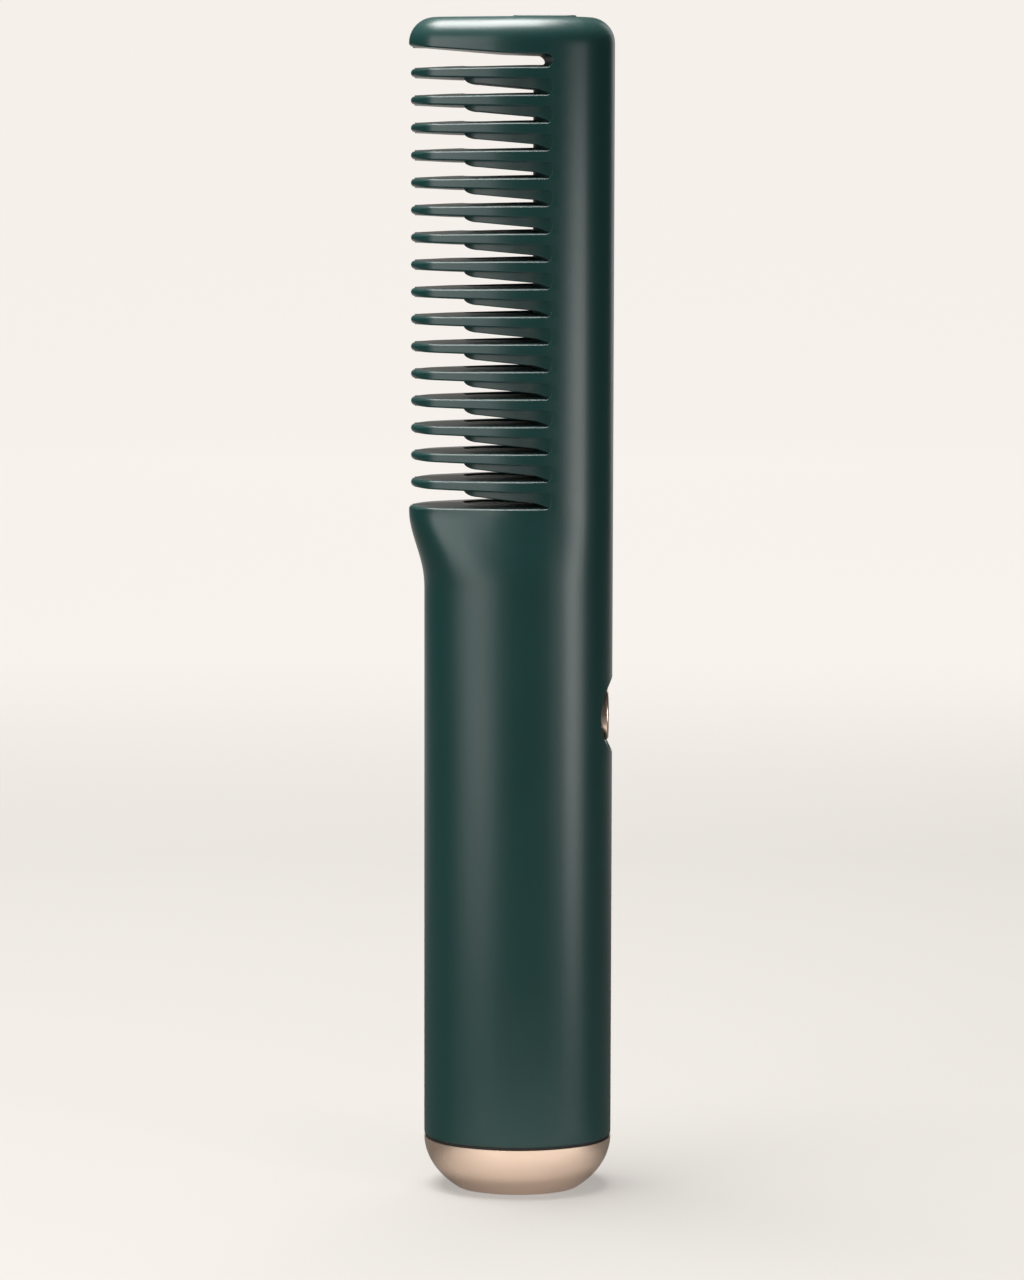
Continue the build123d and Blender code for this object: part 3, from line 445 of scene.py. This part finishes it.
mm = 0.001
weldDistance = 2e-6       # metres
onAxis = 1e-6             # mm; a point this near to the middle plane counts as on it
shellShape = {
    # millimetres; the solids' sizes, and the roundings that only this skin has
    "foot": 9.6, "wall": 1.8, "wallRun": 14, "footRound": 0.15,
    "shoulder": (107.3, 121.2), "shoulderEase": 1.25, "shoulderFoot": 109.5,
    "height": 208.0, "topRound": 4.5,
    "handleEnd": (5.7, 11.0),            # centre and radius of the oval's end arcs
    "handleDepth": 12.5, "handleSplit": 0.33,
    "noseReach": 19.4, "noseRadius": 7.8, "flankAngle": 19.0, "flankEnd": -6.0, "flankCrown": 0.08,
    "faceRadius": 22.0, "spineReach": 16.7,
    "firstSlot": 124.005, "pitch": 4.79, "slots": 17,
    "skinX": (-18.8, -3.0, 4.8), "skinGap": (1.68, 1.42, 1.36), "barGap": (2.2, 1.0, 0.75),
    "coreX": (-18.8, -12.5, 3.0), "coreGap": (1.5, 1.2, 0.71), "barCoreGap": (1.95, 1.8, 0.65),
    "toothShort": 0.35,                  # the teeth end this far short of the bar above them
    "edgeRound": 0.24, "edgeRoundTop": 0.32,     # a tooth's lower and upper edge
    "chamfer": 0.8,                      # how far these go over into a straight chamfer
    "tipRound": 0.68, "tipFade": -14.6, "tipPower": 1.5,
    "rootRound": 0.036, "rootEase": (1.0, 3.4),  # where a fin's face comes out flush with the spine
    "rootBulge": 0.9, "rootTurns": (-1.57, -0.9, -0.3, 1.57), "rootMiddle": 0.16,
    "pull": 1.8, "pullEase": (-3.0, 7.8),        # how far a slot's wall leans to the nose as it goes in
    "wallSteps": (0.02, 0.35, 0.7, 1.0),
    "footRows": (0, 0.6, 0.985, 1.0), "toothRows": (0, 0.04, 0.5, 0.96, 1.0), "barRows": (0, 0.03, 0.5, 1.0),
    "spineX": (6.9, 8.3, 9.8),
    "spineFade": (1.0, 0.45, 0.12),      # how far the spine's first columns follow the slots' round ends
    "handleRows": (12.0, 24.0),          # the handle's rows above its foot, before the even ones
    "pocketStart": -9.9, "pocketNose": (-5.4, 4.45), "pocketEnd": (3.9, 5.15), "pocketFoot": 118.76,
    "dishHeight": 85.105, "dishRadius": 6.5, "dishFloor": 14.6, "dishEdge": 0.35, "dishEdgeShare": 0.45,
    "dishHalf": 8.6, "dishColumns": 11, "dishBack": 12.95,
    "keyHole": 4.68, "keyLip": 0.12, "keyLand": 0.3,
    "plugCentre": 4.35, "plugHalf": (5.65, 3.6), "plugCorner": 1.6, "plugEdge": 0.12, "plugFloor": 206.8,
}


def smoothStep(share):
    # three times the square less twice the cube, from 0 to 1
    share = np.clip(share, 0.0, 1.0)
    return share * share * (3 - 2 * share)


def ease(values, start, length):
    # 0 up to start, 1 past start plus length, and a smooth step between
    return smoothStep((values - start) / length)


def outlineArcs(shell):
    # each half outline is four arcs in a row, from the nose or left tip to the spine: centre, radius, angles.
    # arcs that meet share a direction, so their centres lie on one line with the point where they meet
    endX, endR = shell["handleEnd"]
    depth = shell["handleDepth"]
    faceR = (endX**2 + depth**2 - endR**2) / (2 * (depth - endR))
    join = math.atan2(faceR - depth, -endX)
    split = join + shell["handleSplit"] * (math.pi - 2 * join)
    drop = depth - faceR
    handle = [(-endX, 0, endR, math.pi, join), (0, drop, faceR, join, split),
              (0, drop, faceR, split, math.pi - join), (endX, 0, endR, math.pi - join, 0)]
    lean = math.radians(shell["flankAngle"])
    normal = math.pi / 2 + lean
    noseX, noseR = shell["noseRadius"] - shell["noseReach"], shell["noseRadius"]
    first = np.array([noseX + noseR * math.cos(normal), noseR * math.sin(normal)])
    last = np.array([shell["flankEnd"], first[1] + (shell["flankEnd"] - first[0]) * math.tan(lean)])
    out = np.array([math.cos(normal), math.sin(normal)])
    half = np.linalg.norm(last - first) / 2
    crown = shell["flankCrown"]
    flankR = (half**2 + crown**2) / (2 * crown)
    flank = (first + last) / 2 + (crown - flankR) * out
    swing = math.asin(half / flankR)
    faceRadius = shell["faceRadius"]
    face = last - faceRadius * out
    run = shell["spineReach"] - face[0]
    spineR = (faceRadius**2 - run**2 - face[1] ** 2) / (2 * (faceRadius - run))
    spineX = shell["spineReach"] - spineR
    meet = math.atan2(-face[1], spineX - face[0])
    head = [(noseX, 0, noseR, math.pi, normal), (*flank, flankR, normal + swing, normal - swing),
            (*face, faceRadius, normal, meet), (spineX, 0, spineR, meet, 0)]
    return np.array(handle), np.array(head)


handleArcs, headArcs = outlineArcs(shellShape)


def alongArcs(arcs, t):
    # t runs from 0 to 4: its whole part picks the arc and the rest is the share of the arc's turn.
    # the point is the arc's centre plus its radius times the direction
    part = np.clip(np.floor(t).astype(int), 0, 3)
    x, y, radius, start, end = np.moveaxis(arcs[part], -1, 0)
    angle = start + (end - start) * (t - part)
    normal = np.stack([np.cos(angle), np.sin(angle)], axis=-1)
    return np.stack([x, y], axis=-1) + radius[..., None] * normal, normal


def outline(t, z):
    # plan point and outward direction: handle oval below the shoulder, head above it, eased between them
    low, high = shellShape["shoulder"]
    foot = shellShape["shoulderFoot"]
    t, z = np.broadcast_arrays(np.asarray(t, float), np.asarray(z, float))
    blend = ease(z, low, high - low) ** shellShape["shoulderEase"]
    deep = np.clip((z - foot) / (high - foot), 0.0, 1.0)
    blend = np.stack([blend, deep * deep * (2 - deep)], axis=-1)
    handlePoint, handleNormal = alongArcs(handleArcs, t)
    headPoint, headNormal = alongArcs(headArcs, t)
    point = handlePoint * (1 - blend) + headPoint * blend
    normal = handleNormal * (1 - blend) + headNormal * blend
    return point, normal / np.linalg.norm(normal, axis=-1, keepdims=True)


def lifted(point, z):
    # plan points brought to the height z
    return np.concatenate([point, np.broadcast_to(z, point.shape[:-1])[..., None]], axis=-1)


def skin(t, z, inset=0.0):
    # the outline at the height z, less the inset along its outward direction
    point, normal = outline(t, z)
    return lifted(point - normal * np.asarray(inset)[..., None], z)


tTable = np.linspace(0, 4, 16001)
xTable = alongArcs(headArcs, tTable)[0][:, 0]


def placeAt(x):
    # the t at which the head's outline has this x, read from a fine table
    return np.interp(x, xTable, tTable)


def quarter(side, corner, inner, count, flat=0.0):
    # quarter ellipse from side to inner, round the corner; rows run along the last but one axis.
    # flat is how far the curve goes over into a straight chamfer
    turn = np.linspace(0, math.pi / 2, count)
    flat = np.asarray(flat)[..., None]
    even = turn / (math.pi / 2)
    a = ((1 - np.sin(turn)) * (1 - flat) + (1 - even) * flat)[..., None]
    b = ((1 - np.cos(turn)) * (1 - flat) + even * flat)[..., None]
    side, corner, inner = side[:, None, :], corner[:, None, :], inner[:, None, :]
    return corner + (side - corner) * a + (inner - corner) * b


def toothColumns(shell):
    # columns from the nose to the slots' root, closer together where the pocket's nose is
    places = [-13.2, -12.2, -11.2, -10.4, -9.95, -9.84, -9.8, -9.6, -9.2, -8.6, -7.8, -6.9, -6.0,
              -4.9, -3.8, -2.6, -1.4, -0.2, 1.0, 2.2, 3.2, 4.0, shell["skinX"][2]]
    return np.concatenate([np.linspace(0, 1, 13), placeAt(places)])


def pocketHalf(shell, x):
    # half width of the core's pocket: nothing before its nose, a half circle, then a slow taper
    centre, radius = shell["pocketNose"]
    endX, endHalf = shell["pocketEnd"]
    nose = np.sqrt(np.clip(radius**2 - (x - centre) ** 2, 0, None))
    taper = np.interp(x, [centre, endX], [radius, endHalf])
    return np.where(x < centre, nose, taper)


def slotEdge(shell, columns, level, side, bar, short):
    # one edge of a slot from the nose to the root. the corner lies on the outline, the inner point a radius
    # behind it, and reach is the share of the way to the middle plane that the wall runs before the pocket
    point, normal = alongArcs(headArcs, columns)
    noseX = -shell["noseReach"]
    near = 1 - ease(point[:, 0], noseX, shell["tipFade"] - noseX)
    point = point + np.stack([near * short, 0 * near], axis=-1)
    if side < 0:
        edge = shell["edgeRoundTop"]
    elif bar:
        edge = shell["edgeRound"]
    else:
        sharper = shell["rootRound"] - shell["edgeRound"]
        edge = shell["edgeRound"] + sharper * ease(point[:, 0], *shell["rootEase"])
    radius = edge + (shell["tipRound"] - edge) * near ** shell["tipPower"]
    inner = point - normal * radius[:, None]
    gap = np.interp(inner[:, 0], shell["skinX"], shell["barGap"] if bar else shell["skinGap"])
    coreGap = np.interp(inner[:, 0], shell["coreX"], shell["barCoreGap"] if bar else shell["coreGap"])
    z = level + side * gap
    reach = np.where(bar, 1.0, 1 - pocketHalf(shell, inner[:, 0]) / np.maximum(inner[:, 1], onAxis))
    return {
        "corner": lifted(point, z),
        "side": lifted(point, z + side * radius),
        "inner": lifted(inner, z),
        "radius": radius,
        "deepZ": level + side * coreGap,
        "reach": np.where(inner[:, 1] < onAxis, 1.0, reach),
        "pull": shell["pull"] * ease(point[:, 0], *shell["pullEase"]),
        "flat": shell["chamfer"] * (1 - near),
    }


def slotSurface(shell, columns, index):
    # rounded rim and wall of one slot: along its lower edge, round its root and back along the upper edge.
    # the root is half an ellipse, a half height times the sine and a bulge times the cosine
    level = shell["firstSlot"] + index * shell["pitch"]
    bar = index == shell["slots"] - 1
    lower = slotEdge(shell, columns, level, -1, False, 0.0 if index == 0 else shell["toothShort"])
    upper = slotEdge(shell, columns, level, 1, bar, 0.0 if bar else shell["toothShort"])
    turn = np.linspace(-math.pi / 2, math.pi / 2, 11)[1:-1]

    def between(low, high):
        return (low + high) / 2 + (high - low) / 2 * np.sin(turn)

    def around(key, root):
        return np.concatenate([lower[key], root, upper[key][::-1]])

    rootX = shell["skinX"][2] + shell["rootBulge"] * np.cos(turn)
    rootZ = between(lower["corner"][-1, 2], upper["corner"][-1, 2])
    rounds = [lower["radius"][-1], shell["rootMiddle"], shell["rootRound"], upper["radius"][-1]]
    rootRound = np.interp(turn, shell["rootTurns"], rounds)
    rootPoint, rootNormal = alongArcs(headArcs, placeAt(rootX))
    sidePlace = placeAt(rootX + rootRound * np.cos(turn))
    sideZ = rootZ + rootRound * np.sin(turn)
    corner = around("corner", lifted(rootPoint, rootZ))
    side = around("side", lifted(alongArcs(headArcs, sidePlace)[0], sideZ))
    inner = around("inner", lifted(rootPoint - rootNormal * rootRound[:, None], rootZ))
    deepZ = around("deepZ", between(lower["deepZ"][-1], upper["deepZ"][-1]))
    share = (1 + np.sin(turn)) / 2
    reach = around("reach", lower["reach"][-1] * (1 - share) + upper["reach"][-1] * share)
    pull = around("pull", np.full(len(turn), lower["pull"][-1]))
    flat = around("flat", np.interp(turn, shell["rootTurns"][:2], [shell["chamfer"], 0.0]))
    rim = quarter(side, corner, inner, 7, flat)
    step = np.array(shell["wallSteps"])[None, :] * reach[:, None]
    wall = np.repeat(inner[:, None, :], step.shape[1], axis=1)
    wall[..., 0] -= pull[:, None] * step
    wall[..., 1] *= 1 - step
    wall[..., 2] += (deepZ - inner[:, 2])[:, None] * step
    return np.concatenate([rim, wall], axis=1), sidePlace, sideZ


def combPatches(shell, tooth, base):
    # the slots, the teeth's faces as straight runs from one slot's rim to the next, the walls of the core's
    # pockets, and the spine as the skin beside them, whose left border follows the slots' round ends
    slots = [slotSurface(shell, tooth, index) for index in range(shell["slots"])]
    patches = [surface for surface, _, _ in slots]
    opening = tooth >= placeAt(shell["pocketStart"])
    rows, rowPlaces = [], []                 # the spine's rows and the place of their left ends

    def lowerEdge(index, column):
        return slots[index][0][:len(tooth), column]

    def upperEdge(index, column):
        return slots[index][0][::-1][:len(tooth), column]

    for index in range(shell["slots"] + 1):
        if index == 0:
            under, shares = skin(tooth, shell["shoulder"][1]), shell["footRows"]
        else:
            under, shares = upperEdge(index - 1, 0), shell["toothRows"]
        if index == shell["slots"]:
            over, shares = skin(tooth, shell["height"] - shell["topRound"]), shell["barRows"]
        else:
            over = lowerEdge(index, 0)
        face = under[None] + (over - under)[None] * np.array(shares)[:, None, None]
        patches.append(face)
        rows += list(face[:, -1, 2])
        rowPlaces += [base[0]] * len(shares)
        if 0 < index < shell["slots"]:
            pocketWall = [upperEdge(index - 1, -1)[opening], lowerEdge(index, -1)[opening]]
            patches.append(np.stack(pocketWall))
        if index < shell["slots"]:
            rows += list(slots[index][2])
            rowPlaces += list(slots[index][1])
    platform = lowerEdge(0, -1)[opening]
    patches.append(np.stack([lifted(platform[:, :2], shell["pocketFoot"]), platform]))
    rows, rowPlaces = np.array(rows), np.array(rowPlaces)
    fade = np.zeros(len(base))
    fade[:len(shell["spineFade"])] = shell["spineFade"]
    patches.append(skin(base[None, :] + (rowPlaces - base[0])[:, None] * fade[None, :], rows[:, None]))
    return patches


def handlePatches(shell, whole):
    # handle and shoulder as the outline carried upwards, with a square hole left round the key's dish, and the
    # foot, a quarter circle's rounding with the inside wall above it. the hole's border comes out last
    low, high = shell["shoulder"]
    dishLow, dishHigh = shell["dishHeight"] - shell["dishHalf"], shell["dishHeight"] + shell["dishHalf"]
    sides = np.linspace(dishLow, dishHigh, 17)
    firstRow, evenFrom = shell["handleRows"]
    below = np.concatenate([[shell["foot"] + shell["footRound"], firstRow], np.linspace(evenFrom, dishLow, 6)])
    above = np.concatenate([np.linspace(dishHigh, low, 4), np.linspace(low, high, 17)[1:]])
    split = len(whole) - shell["dishColumns"]
    left = np.concatenate([below, sides[1:-1], above])
    turn = np.linspace(0, math.pi / 2, 5)
    footZ = shell["foot"] + shell["footRound"] * (1 - np.sin(turn))
    footInset = shell["footRound"] * (1 - np.cos(turn))
    insideZ = np.array([shell["foot"], shell["foot"] + shell["wallRun"]])
    foot = [skin(whole, footZ[:, None], footInset[:, None]), skin(whole, insideZ[:, None], shell["wall"])]
    patches = [
        skin(whole[:split + 1], left[:, None]), skin(whole[split:], below[:, None]),
        skin(whole[split:], above[:, None]), np.concatenate(foot),
    ]
    border = np.concatenate([
        skin(whole[split:][::-1], dishLow), skin(whole[split], sides[1:-1]), skin(whole[split:], dishHigh),
    ])
    return patches, border


def dishPatch(shell, border):
    # along rays from the key's axis: from the square hole to the round rim, over it in a quarter circle, down
    # the wall, round its foot and across the floor to the key's hole
    flat = border[:, 1:] - [0, shell["dishHeight"]]
    angle = np.arctan2(flat[:, 1], flat[:, 0])
    ray = np.stack([np.cos(angle), np.sin(angle)], axis=-1)
    endX, endR = shell["handleEnd"]
    radius, floor, hole, lip = shell["dishRadius"], shell["dishFloor"], shell["keyHole"], shell["keyLip"]

    def onSkin(flatPoint):
        # x is the end arc's centre plus the root of its radius squared less y squared
        x = endX + np.sqrt(endR**2 - flatPoint[..., 0] ** 2)
        return np.concatenate([x[..., None], flatPoint], axis=-1) + [0, 0, shell["dishHeight"]]

    def ring(x, size):
        # a circle of that radius round the key's axis
        flatPoint = ray * np.broadcast_to(size, angle.shape)[:, None]
        height = flatPoint[:, 1] + shell["dishHeight"]
        return np.stack([np.broadcast_to(x, angle.shape), flatPoint[:, 0], height], axis=-1)

    rimCorner = onSkin(ray * radius)
    depth = np.clip(rimCorner[:, 0] - floor, 0.0, None)
    soft = np.minimum(shell["dishEdge"], shell["dishEdgeShare"] * depth)
    rimFlat = ray * (radius + soft)[:, None]
    share = np.array([0, 0.35, 0.7, 0.98, 1.0])[None, :, None]
    apron = onSkin(flat[:, None, :] * (1 - share) + rimFlat[:, None, :] * share)
    rimInner = rimCorner - np.stack([soft, 0 * soft, 0 * soft], axis=-1)
    rim = quarter(onSkin(rimFlat), rimCorner, rimInner, 7)
    foot = rimCorner[:, 0] - depth
    cove = quarter(ring(foot + soft, radius), ring(foot, radius), ring(foot, radius - soft), 6)
    land = ring(floor, hole + shell["keyLand"])[:, None]
    edge = quarter(ring(floor, hole + lip), ring(floor, hole), ring(floor - lip, hole), 4)
    back = ring(shell["dishBack"], hole)[:, None]
    return np.concatenate([apron, rim[:, 1:], cove, land, edge, back], axis=1)


def topPatch(shell, whole):
    # a quarter circle's rounding, the flat top and the plug's recess. a ray from the recess's centre meets its
    # straight sides at half width over the ray's share of that axis, and its round corners where the ray's
    # distance to the corner's centre is the corner's radius
    turn = np.linspace(0, math.pi / 2, 11)
    inset = shell["topRound"] * (1 - np.cos(turn))
    domeZ = shell["height"] - shell["topRound"] + shell["topRound"] * np.sin(turn)
    dome = skin(whole, domeZ[:, None], inset[:, None])
    centre = np.array([shell["plugCentre"], 0.0])
    toward = dome[-1, :, :2] - centre
    toward = toward / np.linalg.norm(toward, axis=1, keepdims=True)
    half, bend = np.array(shell["plugHalf"]), shell["plugCorner"]
    straight = np.min(half / np.maximum(np.abs(toward), 1e-9), axis=1)
    corner = half - bend
    inCorner = np.all(np.abs(toward) * straight[:, None] > corner, axis=1)
    along = np.abs(toward) @ corner
    curved = along + np.sqrt(np.clip(along**2 - corner @ corner + bend**2, 0, None))
    length = np.where(inCorner, curved, straight)

    def recess(z, grow):
        return lifted(centre + toward * (length + grow)[:, None], z)

    top, edge = shell["height"], shell["plugEdge"]
    rim, wall = recess(top, edge), recess(top - edge, 0.0)
    inward = np.stack([dome[-1] * (1 - v) + rim * v for v in (0.03, 0.5, 0.97)])
    softEdge = np.moveaxis(quarter(rim, recess(top, 0.0), wall, 4), 1, 0)
    return np.concatenate([dome, inward, softEdge, recess(shell["plugFloor"], 0.0)[None]])


def shellPatches(shell):
    # every patch of one half, on the +y side, as (rows, columns, 3) arrays that share their borders
    tooth = toothColumns(shell)
    base = np.concatenate([placeAt([shell["skinX"][2], *shell["spineX"]]), np.linspace(3, 4, 13)])
    whole = np.concatenate([tooth, base[1:]])
    handle, border = handlePatches(shell, whole)
    return [*combPatches(shell, tooth, base), *handle, dishPatch(shell, border), topPatch(shell, whole)]


def meshFromPatches(name, patches, mirror=False):
    # patches are joined along their shared borders, and faces are turned outwards
    vertices, faces, start = [], [], 0
    for patch in patches:
        rows, columns = patch.shape[:2]
        vertices.append(patch.reshape(-1, 3))
        faces.append(gridFaces(rows, columns, start))
        start += rows * columns
    points = np.concatenate(vertices) * mm
    if mirror:
        points[:, 1] *= -1
    mesh = bpy.data.meshes.new(name)
    mesh.from_pydata(points.tolist(), [], np.concatenate(faces).tolist())
    work = bmesh.new()
    work.from_mesh(mesh)
    bmesh.ops.remove_doubles(work, verts=work.verts, dist=weldDistance)
    bmesh.ops.recalc_face_normals(work, faces=work.faces)
    work.to_mesh(mesh)
    work.free()
    return addPiece(name, mesh)


def addShells():
    patches = shellPatches(shellShape)
    for name, node, mirror in (("frontHalf", "front_shell", True), ("rearHalf", "rear_shell", False)):
        piece = meshFromPatches(name, patches, mirror)
        piece.data.materials.append(materials["shell_green"])
        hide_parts(node)
        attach(piece, "handset")
        print(name, len(piece.data.polygons), "faces")


addShells()


# fins' faces, brought out to the skin

finShape = {
    # millimetres; a sheet a little outside each solid fin, so that its face runs into the spine
    "fins": 16, "nose": -9.72, "noseRun": 2.6, "noseDrop": 1.1,
    "underX": (-7.1, 3.0, 5.74), "under": (0.42, -0.46, -1.34),
    "insetX": (-9.7, -5.0, 0.5, 4.2, 5.2), "inset": (1.4, 1.0, 0.62, 0.10, 0.03),
    "insetRounds": 6,
    "corner": 2.4, "edge": 0.22, "edgeShare": 0.45, "deep": 2.6,
    "lapOver": 0.08, "turnUp": 0.35,     # how far it goes on above its top line, and up at its inner end
    "webX": (2.4, 5.7), "webInset": 1.1, "webZ": (-1.75, -0.1),
}


def smoothed(values, rounds):
    # a quarter of each neighbour and half of the value itself, over and over, with the ends held
    for _ in range(rounds):
        values = np.concatenate([values[:1], (values[:-2] + 2 * values[1:-1] + values[2:]) / 4, values[-1:]])
    return values


def finInset(fins, x):
    # how far the face stays behind the skin, by x: straight runs, smoothed at their joins
    places = np.linspace(fins["insetX"][0], fins["insetX"][-1], 60)
    straight = np.interp(places, fins["insetX"], fins["inset"])
    return np.interp(x, places, smoothed(straight, fins["insetRounds"]))


def finSheet(shell, fins, level):
    # rows from the nose to the root; columns down the face, round its lower edge and in along the underside.
    # the depth is the head's outline less an inset, less a quarter circle's drop at the nose
    nose, corner, deep = fins["nose"], fins["corner"], fins["deep"]
    turn = np.linspace(0, math.pi / 2, 9)
    straight = np.linspace(fins["underX"][0], fins["underX"][2], 30)[1:]
    x = np.concatenate([nose + fins["noseRun"] * (1 - np.cos(turn)), straight])
    across = np.clip((x - nose) / fins["noseRun"], 0, 1)
    drop = fins["noseDrop"] * (1 - np.sqrt(1 - (1 - across) ** 2))
    under = level + np.interp(x, fins["underX"], fins["under"]) + drop
    over = level + np.interp(x, shell["skinX"], shell["skinGap"]) + fins["lapOver"]
    edge = np.minimum(fins["edge"], fins["edgeShare"] * (over - under))
    point, _ = alongArcs(headArcs, placeAt(x))
    short = np.clip(nose + corner - x, 0, corner)
    y = point[:, 1] - finInset(fins, x) - (corner - np.sqrt(corner**2 - short**2))

    def three(depth, z):
        return np.stack([x, depth, z], axis=-1)

    downs = (0.0, 0.25, 0.5, 0.75, 0.98)
    face = np.stack([three(y, over * (1 - v) + (under + edge) * v) for v in downs], axis=1)
    bend = quarter(three(y, under + edge), three(y, under), three(y - edge, under), 7)
    inner = np.stack([three(y - edge - deep * v, under) for v in (0.02, 0.5, 1.0)], axis=1)
    end = three(y - edge - deep, under + fins["turnUp"])[:, None]
    return np.concatenate([face, bend, inner, end], axis=1)


def finWeb(fins, level):
    # the slot's dark end: rows along a quarter ellipse in plan, from the middle to the root, columns upwards
    turn = np.linspace(0, math.pi / 2, 12)
    first, last = fins["webX"]
    reach = alongArcs(headArcs, placeAt(last))[0][1] - fins["webInset"]
    grid = np.empty((len(turn), 4, 3))
    grid[..., 0] = (first + (last - first) * (1 - np.cos(turn)))[:, None]
    grid[..., 1] = (reach * np.sin(turn))[:, None]
    grid[..., 2] = level + np.linspace(*fins["webZ"], 4)
    return grid


def addFinFaces():
    patches = []
    for index in range(finShape["fins"]):
        level = shellShape["firstSlot"] + index * shellShape["pitch"]
        patches += [finSheet(shellShape, finShape, level), finWeb(finShape, level)]
    for name, mirror in (("finFacesFront", True), ("finFacesRear", False)):
        piece = meshFromPatches(name, patches, mirror)
        piece.data.materials.append(materials["core_coating"])
        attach(piece, "handset")
        print(name, len(piece.data.polygons), "faces")


addFinFaces()
